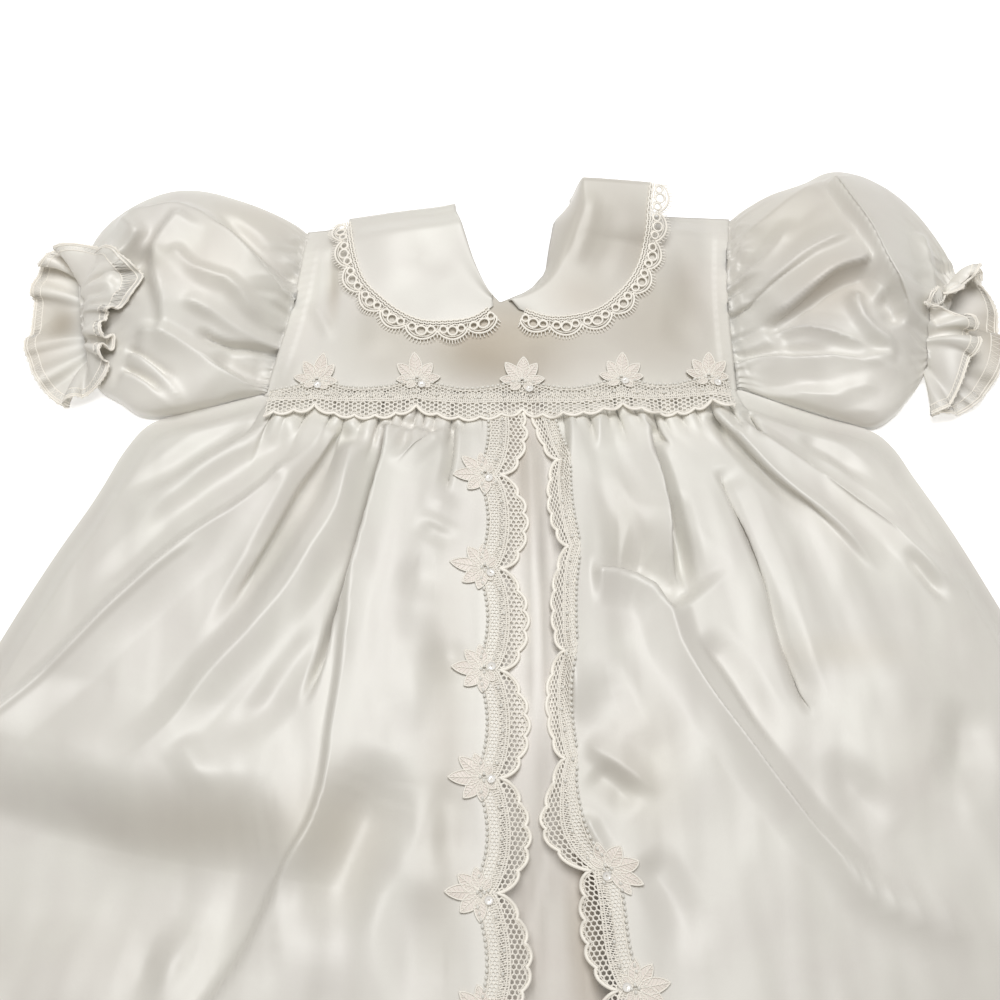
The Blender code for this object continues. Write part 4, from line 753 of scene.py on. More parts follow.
def drift(x, y, swell):
    """Smooth noise with the bumps of a swell."""
    size = 64
    grid = np.random.default_rng(swell.seed).uniform(-1.0, 1.0, (size, size))
    u, v = np.asarray(x) / swell.wide, np.asarray(y) / swell.long
    i, j = np.floor(u).astype(int), np.floor(v).astype(int)
    a, b = u - i, v - j
    a, b = (q ** 3 * (q * (q * 6 - 15) + 10) for q in (a, b))
    return swell.height * blended(grid, i % size, (i + 1) % size, j % size, (j + 1) % size, a, b)


# Skirt surface

def skirt_value(column, down):
    return table_at(SKIRT_ROWS, "down", column, down)


def skirt_point(across, down):
    side_x = np.where(across < 0, skirt_value("left_x", down), skirt_value("right_x", down))
    side_y = np.where(across < 0, skirt_value("left_y", down), skirt_value("right_y", down))
    centre_y = skirt_value("centre_y", down)
    share = np.abs(across)
    x = CENTRE_X + share * (side_x - CENTRE_X)
    return x, centre_y + (side_y - centre_y) * share ** ROW_SAG_POWER


def across_at(x, down):
    left = (x - CENTRE_X) / (CENTRE_X - skirt_value("left_x", down))
    right = (x - CENTRE_X) / (skirt_value("right_x", down) - CENTRE_X)
    return np.where(x < CENTRE_X, left, right)


def front_edge_x(side, down):
    column = "left_x" if side < 0 else "right_x"
    return table_at(FRONT_EDGES, "y", column, skirt_value("centre_y", down))


def skirt_edge_roll(x, y):
    roll = np.ones(np.shape(x))
    downs = np.linspace(0.0, 1.0, 40)
    for side in (-1.0, 1.0):
        outline = list(zip(*skirt_point(np.full(downs.shape, side), downs)))
        roll = np.minimum(roll, smooth_step(line_distance(x, y, outline)[0] / EDGE_ROLL))
    return roll


def crown(across, down):
    return skirt_value("crown", down) * (1.0 - np.abs(across) ** CROWN_POWER)


def under_share(x, down):
    """The underskirt puffs up between the open fronts, close below their lace at the top."""
    puff = UNDER_PUFF * (1.0 - UNDER_SINK * smooth_step((down - UNDER_SINK_FROM) / UNDER_SINK_FADE))
    away = (np.abs(x - CENTRE_X) - UNDER_PUFF_HALF) / UNDER_PUFF_FADE
    return UNDER_CROWN_SHARE + puff * (1.0 - smooth_step(away))


def under_half(down):
    return UNDER_HALF_TOP + UNDER_HALF_GAIN * smooth_step(down / UNDER_HALF_FULL)


def under_top(across, down):
    x, y = skirt_point(across, down)
    lift = under_share(x, down) * crown(across, down) + fold_height(x, y, UNDER_FOLDS)
    lift = lift + drift(x, y, UNDER_SWELL)
    return UNDER_FRONT_Z + skirt_edge_roll(x, y) * lift + FLAT_WALL


def waist_tucks(x, y, seam_y):
    """The pleats and the fine tucks of the gathered waist seam."""
    below = np.maximum(seam_y - y, 0.0)
    total = np.zeros(x.shape)
    for pleat in PLEATS:
        centre = pleat.x * (1.0 + PLEAT_LEAN * below)
        width = pleat.width * (PLEAT_SEAM_SHARE + PLEAT_SPREAD * below / pleat.length)
        t = np.clip(np.abs(x - centre) / width, 0.0, 1.0)
        fade = 1.0 - smooth_step((below - LACE_DEPTH) / pleat.length)
        total -= pleat.depth * (1.0 - t) ** PLEAT_POWER * fade
    tucks = np.sin(2 * math.pi * (x / TUCK_PITCH + drift(x, y, TUCK_WANDER)))
    return total + TUCK_HEIGHT * tucks * np.exp(-below / TUCK_REACH)


def over_top(across, down, folds):
    x, y = skirt_point(across, down)
    rise = crown(across, down)
    seam_y = skirt_point(across, np.zeros(np.shape(down)))[1]
    shape = fold_height(x, y, folds)
    shape = soft_floor(shape, -TROUGH_SHARE * rise - TROUGH_DEPTH)
    grain = drift(across * 100, down * 100, STREAKS) * smooth_step(down / STREAKS_FADE)
    grain += drift(x, y, OVER_FINE) + drift(x, y, OVER_BROAD)
    height = OVER_LIFT + rise + shape + grain + waist_tucks(x, y, seam_y)
    low = UNDER_FRONT_Z - SEAM_Z + FLAT_WALL + CLOTH + under_share(x, down) * rise
    over_the_under = np.abs(across) < under_half(down) + UNDER_MARGIN
    height = np.where(over_the_under, soft_floor(height, low), height)
    return SEAM_Z + skirt_edge_roll(x, y) * height + WALL


# Bodice surface

def waist_y(x):
    return skirt_point(across_at(x, 0.0), np.zeros(np.shape(x)))[1]


def armhole_x(side, y):
    row = SKIRT_ROWS[0]
    low_x, low_y = (row.left_x, row.left_y) if side < 0 else (row.right_x, row.right_y)
    top_x, top_y = SHOULDER_LEFT if side < 0 else SHOULDER_RIGHT
    q = np.clip((y - low_y) / (top_y - low_y), 0.0, 1.0)
    return low_x + (top_x - low_x) * q - side * ARMHOLE_BOW * np.sin(math.pi * q)


def shoulder_y(x):
    knots = [SHOULDER_LEFT[0], NECKLINE[0].x, NECKLINE[-1].x, SHOULDER_RIGHT[0]]
    return np.interp(x, knots, [SHOULDER_LEFT[1], NECKLINE[0].y + 1, NECKLINE[-1].y + 2,
                                SHOULDER_RIGHT[1]])


def bodice_top(x, y):
    left, right = armhole_x(-1, y), armhole_x(1, y)
    half = 0.5 * (right - left)
    share = np.clip(np.abs(x - 0.5 * (left + right)) / half, 0.0, 1.0)
    side_seam = smooth_step((1.0 - share) * half / EDGE_ROLL)
    edge = side_seam + (1.0 - side_seam) * smooth_step(y / ARMHOLE_RISE)
    shoulder = smooth_step((shoulder_y(x) - y) / SHOULDER_ROLL)
    rise = OVER_LIFT + (BODICE_CROWN - OVER_LIFT) * (1.0 - share ** CROWN_POWER)
    band = smooth_step((SEAM_BAND + SEAM_BAND_STEP - (1.0 - share) * half) / SEAM_BAND_STEP)
    turns = y / PUCKER_PITCH + drift(x, y, PUCKER_WANDER)
    puckers = PUCKER_HEIGHT * np.sin(2 * math.pi * turns) * band
    fine = drift(x, y, BODICE_SWELL) + SEAM_BAND_RISE * band + puckers
    return SEAM_Z + edge * shoulder * (rise + fold_height(x, y, BODICE_FOLDS) + fine) + WALL


# Meshes

def painted_shading_at(points, shading_spots):
    """Colour factor of painted shading on the cloth: 1, with the soft darker spots of painted shade and
    lighter spots of painted light of a table.
    """
    painted_shading = np.ones((len(points), 4))
    for spot in shading_spots:
        away = np.hypot((points[:, 0] - spot.x) / spot.wide, (points[:, 1] - spot.y) / spot.deep)
        share = (1.0 - smooth_step(away))[:, None]
        painted_shading[:, :3] += share * (spot.change + spot.warmth * np.array([0.5, -0.1, -0.9]))
    return painted_shading


class Heap:
    """Points and faces of many shapes that go into one mesh."""

    def __init__(self):
        self.points, self.faces, self.count = [], [], 0

    def add(self, points, faces):
        points = np.asarray(points, float).reshape(-1, 3)
        self.points.append(points)
        self.faces.extend((np.asarray(faces) + self.count).tolist())
        self.count += len(points)

    def add_each(self, shapes, faces):
        """Shapes of the same number of points, each with these faces."""
        shapes = np.asarray(shapes).reshape(len(shapes), -1, 3)
        starts = np.arange(len(shapes)) * shapes.shape[1]
        self.add(shapes, (faces[None] + starts[:, None, None]).reshape(-1, 4))

    def add_wall(self, outer, inner, closed=False):
        """Two grids that face away from each other; gives the number of their first point."""
        rows, columns = outer.shape[:2]
        faces = grid_faces(rows, columns, closed)
        self.add(np.concatenate([outer.reshape(-1, 3), inner.reshape(-1, 3)]),
                 np.concatenate([faces, faces[:, ::-1] + rows * columns]))
        return self.count - 2 * rows * columns

    def made(self, name, material, node=None, slot=None, shading_spots=()):
        points = np.concatenate(self.points)
        mesh = bpy.data.meshes.new(name)
        mesh.from_pydata((MM * points).tolist(), [], self.faces)
        # Painted shade and painted light of the spots, kept for the material to multiply the cloth's
        # tint by
        painted_shading = mesh.color_attributes.new("painted_shading", "FLOAT_COLOR", "POINT")
        painted_shading.data.foreach_set("color", painted_shading_at(points, shading_spots).astype(np.float32).ravel())
        mesh.materials.append(material)
        mesh.shade_smooth()
        piece = bpy.data.objects.new(name, mesh)
        bpy.context.scene.collection.objects.link(piece)
        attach(piece, "root")
        if node:
            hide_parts(node)
        return piece


def grid_faces(rows, columns, closed=False):
    """Quads of a grid of points, row by row; closed joins the last column to the first."""
    r, c = np.meshgrid(np.arange(rows - 1), np.arange(columns if closed else columns - 1),
                       indexing="ij")
    r, c = r.ravel(), c.ravel()
    d = (c + 1) % columns
    return np.stack([r * columns + c, r * columns + d, (r + 1) * columns + d,
                     (r + 1) * columns + c], axis=1)


def grid_normals(grid):
    normal = unit(np.cross(np.gradient(grid, axis=1), np.gradient(grid, axis=0)))
    return normal * np.where(normal[..., 2:3] < 0, -1.0, 1.0)


def shell(heap, grid, wall):
    """Closed thin wall below a grid of top points."""
    rows, columns = grid.shape[:2]
    start = heap.add_wall(grid, grid - wall * grid_normals(grid))
    number = np.arange(rows * columns).reshape(rows, columns)
    rim = np.concatenate([number[0, :-1], number[:-1, -1], number[-1, :0:-1], number[:0:-1, 0]])
    after = np.roll(rim, -1)
    rims = np.stack([rim, rim + rows * columns, after + rows * columns, after], axis=1)
    heap.faces.extend((rims + start).tolist())


def turned_under(grid, axis, end, width, drop):
    """The grid with one border folded under by about width, as a hem."""
    grid = np.moveaxis(grid, axis, 0)
    if end:
        grid = grid[::-1]
    reach = np.linalg.norm(np.diff(grid, axis=0), axis=2).cumsum(0).mean(1)
    inside = int(np.clip(np.searchsorted(reach, width), 1, len(reach) - 1))
    out = unit(grid[0] - grid[2])
    # The fold's round edge, half way down
    half = grid[0] + out * 0.4 * drop - UP * 0.5 * drop
    rows = [grid[inside] - UP * drop, grid[max(1, inside // 2)] - UP * drop,
            grid[0] - UP * drop, half]
    grid = np.concatenate([np.stack(rows), grid])
    if end:
        grid = grid[::-1]
    return np.moveaxis(grid, 0, axis)


def tubes(heap, lines, radius, sides=3, closed=False):
    """Round threads along many lines of the same number of points."""
    lines = np.asarray(lines, float)
    if lines.ndim == 2:
        lines = lines[None]
    steps = lines.shape[1]
    ahead = (np.roll(lines, -1, 1) - np.roll(lines, 1, 1)) if closed else np.gradient(lines, axis=1)
    along = unit(ahead)
    across = unit(np.cross(along, UP) + 1e-6)
    over = np.cross(across, along)
    angles = 2 * math.pi * (np.arange(sides) + 0.25) / sides
    ring = (np.cos(angles)[:, None] * across[:, :, None] + np.sin(angles)[:, None] * over[:, :, None])
    points = lines[:, :, None] + radius * ring
    rows = steps + 1 if closed else steps
    faces = grid_faces(rows, sides, closed=True)
    if closed:
        faces = faces % (steps * sides)
    heap.add_each(points, faces)


def balls(heap, centres, radius, stretch, sides=7, rings=4):
    """Small beads at the centres; stretch gives their long axes."""
    theta = math.pi * np.arange(rings + 1) / rings
    phi = 2 * math.pi * np.arange(sides) / sides
    ball = np.stack([np.sin(theta)[:, None] * np.cos(phi), np.sin(theta)[:, None] * np.sin(phi),
                     np.cos(theta)[:, None] * np.ones(sides)], axis=-1).reshape(-1, 3)
    points = centres[:, None] + radius * ball[None]
    points = points + stretch[:, None] * (ball[None] @ unit(stretch)[:, :, None]) * radius
    heap.add_each(points, grid_faces(rings + 1, sides, closed=True))


def discs(heap, centres, radius, tilt, sides=14):
    """Cupped sequins with a hole, tilted a little each its own way."""
    phi = 2 * math.pi * np.arange(sides) / sides
    for centre, lean in zip(centres, tilt):
        rows = []
        for share, rise in SEQUIN_CUP:
            x, y = radius * share * np.cos(phi), radius * share * np.sin(phi)
            rows.append(np.stack([x, y, rise + lean[0] * x + lean[1] * y], axis=1))
        heap.add(np.stack(rows) + centre, grid_faces(len(SEQUIN_CUP), sides, closed=True))


# Materials

def set_sockets(node, values):
    for name, value in values.items():
        node.inputs[name].default_value = value


def new_material(name, values):
    material = bpy.data.materials.new(name)
    material.use_nodes = True
    shader = material.node_tree.nodes["Principled BSDF"]
    set_sockets(shader, values)
    return material, shader


def tinted(tree, dark, light, edge, noise):
    """The object's coordinates, and a slow change from a dark to a light tint over them."""
    place = tree.nodes.new("ShaderNodeTexCoord")
    tint = tree.nodes.new("ShaderNodeTexNoise")
    set_sockets(tint, noise)
    ramp = tree.nodes.new("ShaderNodeValToRGB")
    steps = zip(ramp.color_ramp.elements, (edge, 1.0 - edge), (dark, light))
    for element, position, colour in steps:
        element.position = position
        element.color = (*colour, 1.0)
    tree.links.new(place.outputs["Object"], tint.inputs["Vector"])
    tree.links.new(tint.outputs["Fac"], ramp.inputs["Fac"])
    return place.outputs["Object"], ramp.outputs["Color"]


def combined(tree, kind, operation, first, second):
    node = tree.nodes.new(kind)
    node.operation = operation
    tree.links.new(first, node.inputs[0])
    tree.links.new(second, node.inputs[1])
    return node.outputs[0]


def cloth_material(name, light, dark, roughness, sheen, weave, bump, mottle=28.0, metal=0.05):
    """Woven cloth: slow tint changes, painted shade and painted light from the mesh's spots, a fine
    weave and a soft sheen.
    """
    material, shader = new_material(name, {
        "Roughness": roughness, "Specular IOR Level": 0.6, "Metallic": metal,
        "Anisotropic": 0.3, "Sheen Weight": sheen, "Sheen Roughness": 0.35})
    tree = material.node_tree
    place, tint = tinted(tree, dark, light, 0.3, {"Scale": mottle, "Detail": 3.0, "Distortion": 0.6})
    # The tint times the mesh's painted shade and painted light
    painted_shading_node = tree.nodes.new("ShaderNodeAttribute")
    painted_shading_node.attribute_name = "painted_shading"
    shaded_tint = combined(tree, "ShaderNodeVectorMath", "MULTIPLY", tint, painted_shading_node.outputs["Color"])
    tree.links.new(shaded_tint, shader.inputs["Base Color"])
    threads = []
    for direction in ("X", "Y"):
        wave = tree.nodes.new("ShaderNodeTexWave")
        wave.bands_direction = direction
        set_sockets(wave, {"Scale": weave, "Distortion": 1.2, "Detail": 1.0})
        tree.links.new(place, wave.inputs["Vector"])
        threads.append(wave.outputs["Fac"])
    both = combined(tree, "ShaderNodeMath", "MULTIPLY", *threads)
    slubs = tree.nodes.new("ShaderNodeTexNoise")
    set_sockets(slubs, {"Scale": 420.0, "Detail": 2.0})
    tree.links.new(place, slubs.inputs["Vector"])
    height = combined(tree, "ShaderNodeMath", "ADD", both, slubs.outputs["Fac"])
    raised = tree.nodes.new("ShaderNodeBump")
    set_sockets(raised, {"Strength": bump, "Distance": 0.0001})
    tree.links.new(height, raised.inputs["Height"])
    tree.links.new(raised.outputs["Normal"], shader.inputs["Normal"])
    return material


def gloss_material(name, colour, roughness, coat, speckle):
    """Pearl or sequin: smooth, with a slight change of tint from one to the next."""
    material, shader = new_material(name, {
        "Roughness": roughness, "Coat Weight": coat, "Coat Roughness": 0.08})
    tree = material.node_tree
    tint = tinted(tree, [0.9 * c for c in colour], colour, 0.35, {"Scale": speckle})[1]
    tree.links.new(tint, shader.inputs["Base Color"])
    return material


SATIN = cloth_material("satin", SATIN_LIGHT, SATIN_DARK, roughness=0.46, sheen=0.25, weave=900.0,
                       bump=0.25)
LINING = cloth_material("underskirt_satin", UNDER_LIGHT, UNDER_DARK, roughness=0.42, sheen=0.2,
                        weave=900.0, bump=0.25)
LACE = cloth_material("lace_thread", LACE_LIGHT, LACE_DARK, roughness=0.5, sheen=0.8, weave=1500.0,
                      bump=0.3, mottle=160.0, metal=0.0)
PETAL = cloth_material("petal_organza", PETAL_LIGHT, PETAL_DARK, roughness=0.45, sheen=0.4,
                       weave=1100.0, bump=0.3, mottle=90.0, metal=0.02)
PEARLS = gloss_material("pearl", PEARL, roughness=0.2, coat=0.7, speckle=500.0)
SEQUINS = gloss_material("sequin", SEQUIN, roughness=0.08, coat=0.6, speckle=300.0)
# Painted light: the lace threads glow faintly by themselves, standing in for light that comes through
# them from all round
set_sockets(LACE.node_tree.nodes["Principled BSDF"],
            {"Emission Color": (*LACE_PAINTED_GLOW, 1.0), "Emission Strength": 0.10})


# Skirt pieces

def pleat_laps(side):
    """Each waist pleat laps a little over its neighbour, every third one the other way."""
    laps = []
    for k, pleat in enumerate(PLEATS):
        if pleat.x * side < 0.0:
            continue
        top = float(waist_y(np.array(pleat.x))) + PLEAT_TOP
        points = [(pleat.x * (1.0 + PLEAT_LEAN * run), top - run)
                  for run in (0.0, 0.5 * pleat.length, pleat.length + LACE_DEPTH)]
        fades = [PLEAT_TOP, pleat.length]
        if k % 3 == 1:
            points, fades = points[::-1], fades[::-1]
        laps.append(Lap(over=PLEAT_LAP, under=1.0, step=0.4 * pleat.depth, dip=0.3,
                        high_width=1.6 * pleat.width + 1.5, low_width=pleat.width + 1.0,
                        fade_in=fades[0], fade_out=fades[1], points=points))
    return laps


def panel_grid(side, folds, laps):
    downs = np.concatenate([np.linspace(first, last, count, endpoint=last == 1.0)
                            for first, last, count in PANEL_ROWS])
    start = across_at(front_edge_x(side, downs), downs)
    across = start[:, None] + (side - start)[:, None] * np.linspace(0.0, 1.0, PANEL_COLUMNS)
    down = np.broadcast_to(downs[:, None], across.shape)
    x, y = skirt_point(across, down)
    grid = np.stack([x, y, over_top(across, down, folds)], axis=-1)
    grid = lapped(grid, laps + pleat_laps(side))
    return under_the_bodice(against_the_sleeve(grid))


def against_the_sleeve(grid):
    """The shoulder of the skirt pushed up to the sleeve that lies beside it."""
    share = np.linspace(0.0, 1.0, grid.shape[1])
    near = smooth_step((share - SHOULDER_SHARE) / (1.0 - SHOULDER_SHARE))
    out = np.abs(grid[..., 0])
    reach = smooth_step((out - SHOULDER_FROM) / SHOULDER_FADE_IN)
    reach = reach * smooth_step((SHOULDER_TO - out) / SHOULDER_FADE_OUT)
    grid[..., 1] += SHOULDER_LIFT * near * reach
    return grid


def under_the_bodice(grid):
    """Two more rows at the waist, so that no gap shows at the seam."""
    rows = [grid[0] + np.array([0.0, reach, -drop]) for reach, drop in SEAM_ROWS]
    return np.concatenate([np.stack(rows), grid])


def overskirt_panel(name, side, folds, laps, node):
    grid = panel_grid(side, folds, laps)
    grid = turned_under(grid, 0, True, HEM_TURN, HEM_FOLD)
    grid = turned_under(grid, 1, False, FRONT_TURN, HEM_FOLD)
    heap = Heap()
    heap.add(grid, grid_faces(*grid.shape[:2]))
    shading_spots = PANEL_LEFT_PAINTED_SHADING if side < 0 else PANEL_RIGHT_PAINTED_SHADING
    piece = heap.made(name, SATIN, node, "satin", shading_spots)
    return piece


def skirt_layer(name, node, material, slot, reach, top, columns, rows,
                shading_spots=()):
    downs = np.linspace(0.0, 1.0 if node == "overskirt_back" else 0.995, rows)
    across = reach(downs)[:, None] * np.linspace(-1.0, 1.0, columns)
    down = np.broadcast_to(downs[:, None], across.shape)
    x, y = skirt_point(across, down)
    grid = np.stack([x, y, top(across, down)], axis=-1)
    if node == "underskirt_front":
        grid = under_the_bodice(grid)
    heap = Heap()
    shell(heap, grid, CLOTH)
    piece = heap.made(name, material, node, slot, shading_spots)
    return piece


# Bodice and collar pieces

def patch(top, left_edge, right_edge, left_x, right_x, columns, rows):
    """Plan grid of a bodice piece, blended between its four outlines."""
    across = np.linspace(0.0, 1.0, columns)
    up = np.linspace(0.0, 1.0, rows)[:, None, None]
    base_x = left_x + (right_x - left_x) * across
    base = np.stack([base_x, waist_y(base_x) + SEAM_GAP], axis=1)[None]
    head = top(across)[None]
    point = base * (1 - up) + head * up
    for weight, k, edge in ((1 - across, 0, left_edge), (across, -1, right_edge)):
        chord = base[:, k] * (1 - up[:, 0]) + head[:, k] * up[:, 0]
        shift = edge(up[:, 0, 0], chord) - chord
        point = point + weight[None, :, None] * shift[:, None]
    return point


def armhole_edge(side):
    return lambda up, chord: np.stack([armhole_x(side, chord[:, 1]), chord[:, 1]], axis=1)


def bodice_front():
    knots = [0.0] + [p.across for p in NECKLINE] + [1.0]
    xs = [SHOULDER_LEFT[0]] + [p.x for p in NECKLINE] + [SHOULDER_RIGHT[0]]
    ys = [SHOULDER_LEFT[1]] + [p.y for p in NECKLINE] + [SHOULDER_RIGHT[1]]

    def top(q):
        return np.stack([np.interp(q, knots, xs), np.interp(q, knots, ys)], axis=-1)

    plan = patch(top, armhole_edge(-1), armhole_edge(1), SKIRT_ROWS[0].left_x,
                 SKIRT_ROWS[0].right_x, columns=190, rows=84)
    grid = np.concatenate([plan, bodice_top(plan[..., 0], plan[..., 1])[..., None]], axis=2)
    heap = Heap()
    shell(heap, grid, CLOTH)
    piece = heap.made("bodice_front_cloth", SATIN, "bodice_front", "satin", BODICE_PAINTED_SHADING)
    return piece


def bodice_back(name, side, node):
    opening = BACK_OPENING_LEFT if side < 0 else BACK_OPENING_RIGHT
    opening = [(opening[0][0], float(waist_y(opening[0][0])) + SEAM_GAP)] + opening[1:]
    line = lambda up, chord: along_points(opening, up)
    row = SKIRT_ROWS[0]
    if side < 0:
        ends, edges = (SHOULDER_LEFT, opening[-1]), (armhole_edge(-1), line)
        low_x, high_x = row.left_x, opening[0][0]
    else:
        ends, edges = (opening[-1], SHOULDER_RIGHT), (line, armhole_edge(1))
        low_x, high_x = opening[0][0], row.right_x
    top = lambda q: (1 - q)[:, None] * np.array(ends[0]) + q[:, None] * np.array(ends[1])
    plan = patch(top, *edges, low_x, high_x, columns=30, rows=24)
    grid = np.concatenate([plan, np.full(plan.shape[:2] + (1,), FLAT_WALL)], axis=2)
    heap = Heap()
    shell(heap, grid, FLAT_WALL)
    piece = heap.made(name, SATIN, node, "satin")


def over_the_shoulder(grid):
    """Adds the rows that take a collar from its shoulder fold down behind to the surface."""
    rows = []
    for turn in COLLAR_TURNS:
        row = grid[0].copy()
        row[:, 1] += COLLAR_TURN_DEPTH * math.sin(0.5 * math.pi * turn)
        row[:, 2] -= (row[:, 2] - COLLAR_TURN_END_Z) * (1 - math.cos(0.5 * math.pi * turn))
        rows.append(row)
    return np.concatenate([np.stack(rows), grid])


def collar_left_grid(rows=60, columns=40):
    down = np.linspace(0.0, 1.0, rows)
    neck = along_points(COLLAR_LEFT_NECK, down)[:, None]
    edge = along_points(COLLAR_LEFT_EDGE, down)[:, None]
    q = np.linspace(0.0, 1.0, columns)[None, :]
    plan = neck + (edge - neck) * q[..., None]
    x, y = plan[..., 0], plan[..., 1]
    lift = COLLAR_SHOULDER_LIFT * (1 - down[:, None]) ** 4 * (1 - 0.4 * q)
    puff = COLLAR_PUFF * np.sin(math.pi * q) * (1 - down[:, None])
    roll = COLLAR_ROLL * np.exp(-(q / COLLAR_ROLL_SHARE) ** 2)
    z = bodice_top(x, y) + COLLAR_SEAT + lift + puff + roll + fold_height(x, y, COLLAR_FOLDS)
    z = z + COLLAR_LEFT_LIFT
    return np.stack([x, y, z], axis=-1)


def collar_right_grid(rows=60, columns=24):
    value = values_at(COLLAR_RIGHT_ROWS, np.linspace(0.0, 1.0, rows))
    neck, roll, edge = (np.stack([value[part + "_x"], value[part + "_y"]], axis=1)
                        for part in ("neck", "roll", "edge"))
    neck_z = bodice_top(neck[:, 0], neck[:, 1]) + COLLAR_SEAT
    edge_z = np.maximum(value["edge_z"], bodice_top(edge[:, 0], edge[:, 1]) + COLLAR_SEAT + 0.9)
    q = np.linspace(0.0, 0.94, 10)[None, :]
    up = neck[:, None] + (roll - neck)[:, None] * q[..., None]
    up_z = neck_z[:, None] + (value["roll_z"] - neck_z)[:, None] * np.sin(0.5 * math.pi * q)
    q = np.linspace(0.0, 1.0, columns)[None, :]
    out = roll[:, None] + (edge - roll)[:, None] * q[..., None]
    out_z = value["roll_z"][:, None] + (edge_z - value["roll_z"])[:, None] * q ** COLLAR_RIGHT_FALL
    out_z = out_z + fold_height(out[..., 0], out[..., 1], COLLAR_FOLDS)
    floor = bodice_top(out[..., 0], out[..., 1]) + COLLAR_SEAT + 0.8
    out_z = np.maximum(out_z, floor)
    return np.concatenate([np.concatenate([up, out], axis=1),
                           np.concatenate([up_z, out_z], axis=1)[..., None]], axis=2)


def collar_piece(name, grid, node, shading_spots):
    heap = Heap()
    grid = over_the_shoulder(grid)
    shell(heap, grid, COLLAR_CLOTH)
    piece = heap.made(name, SATIN, node, "satin", shading_spots)


# Sleeves

def inset(u, z, wall):
    du = np.roll(u, -1, -1) - np.roll(u, 1, -1)
    dz = np.roll(z, -1, -1) - np.roll(z, 1, -1)
    size = np.maximum(np.hypot(du, dz), 1e-9)
    return u - wall * dz / size, np.maximum(z + wall * du / size, wall)


def pleat_phase(turn, s):
    """Makes the waves of the gathers uneven round the sleeve."""
    return 1.6 * np.sin(5.0 * turn + 2.0 * s) + 0.9 * np.sin(11.0 * turn + 1.0)


def section_grid(rows, s, heights, folds, toward_body):
    """Rings of a flattened sleeve: flat below, domed above, with waves round the dome."""
    value = {name: column[:, None] for name, column in values_at(rows, s).items()}
    hidden = (s < 0.0)[:, None]
    value["height"] = value["height"] * np.where(hidden, SEAM_TUCK_SHARE, 1.0)
    shift = np.where(hidden, toward_body * SEAM_TUCK, 0.0)
    low = np.stack([value["low_x"] + shift, value["low_y"]], axis=-1)
    top = np.stack([value["top_x"] + shift, value["top_y"]], axis=-1)
    width = np.linalg.norm(top - low, axis=-1)
    direction = (top - low) / width[..., None]
    flat_u = width * np.arange(SLEEVE_FLAT_STEPS)[None] / SLEEVE_FLAT_STEPS
    turn = math.pi * np.arange(SLEEVE_DOME_STEPS)[None] / SLEEVE_DOME_STEPS
    phase = 2 * SLEEVE_PLEATS * turn + pleat_phase(turn, s[:, None])
    swell = heights[:, None] * np.sin(turn) ** 0.5 * np.cos(phase)
    dome_u = 0.5 * width * (1 + np.cos(turn)) + swell * np.cos(turn)
    high_side = smooth_step((HIGH_SIDE_FROM + np.cos(turn)) / HIGH_SIDE_FADE)
    gentle = LOW_SIDE + (1.0 - LOW_SIDE) * high_side
    power = LOW_POWER + (DOME_POWER - LOW_POWER) * high_side
    dome_z = SLEEVE_PRESS * gentle * value["height"] * np.sin(turn) ** power + swell * np.sin(turn)
    u = np.concatenate([flat_u, dome_u], axis=1)
    z = np.concatenate([np.zeros(flat_u.shape), dome_z], axis=1)
    x = low[..., 0] + direction[..., 0] * u
    y = low[..., 1] + direction[..., 1] * u
    share = np.clip(z / value["height"], 0.0, 1.0) ** 0.5
    z = z + share * (fold_height(x, y, folds) + drift(x, y, SLEEVE_BROAD)
                     + drift(x, y, SLEEVE_FINE))
    z = np.maximum(z, 0.0)
    bow = value["bow"] * np.sin(math.pi * np.clip(u / width, 0.0, 1.0))
    return np.stack([x + toward_body * bow, y, z], axis=-1), (u, z, low, direction, toward_body * bow)


def tube_shell(heap, grid, frame_of, wall):
    u, z, low, direction, bow = frame_of
    inner_u, inner_z = inset(u, z, wall)
    inner = np.stack([low[..., 0] + direction[..., 0] * inner_u + bow,
                      low[..., 1] + direction[..., 1] * inner_u, inner_z], axis=-1)
    rows, columns = grid.shape[:2]
    start = heap.add_wall(grid, inner, closed=True)
    for row in (0, rows - 1):
        ring = row * columns + np.arange(columns)
        after = np.roll(ring, -1)
        rim = np.stack([ring, after, after + rows * columns, ring + rows * columns], axis=1)
        heap.faces.extend((rim + start).tolist())


def sleeve(name, rows, folds, laps, toward_body, node, shading_spots):
    s = np.concatenate([[-1.0], np.linspace(0.0, 1.0, SLEEVE_RINGS)])
    heights = SLEEVE_PLEAT_HEIGHT * (np.exp(-np.maximum(s, 0.0) / ARMHOLE_PLEAT_REACH)
                                     + CUFF_PLEAT_GAIN * np.exp(-(1 - s) / CUFF_PLEAT_REACH))
    grid, frame_of = section_grid(rows, s, heights, folds, toward_body)
    grid = lapped(grid, laps, SLEEVE_LAP_BAND, LAP_FLOOR)
    heap = Heap()
    tube_shell(heap, grid, frame_of, CLOTH)
    piece = heap.made(name, SATIN, node, "satin", shading_spots)
    return piece


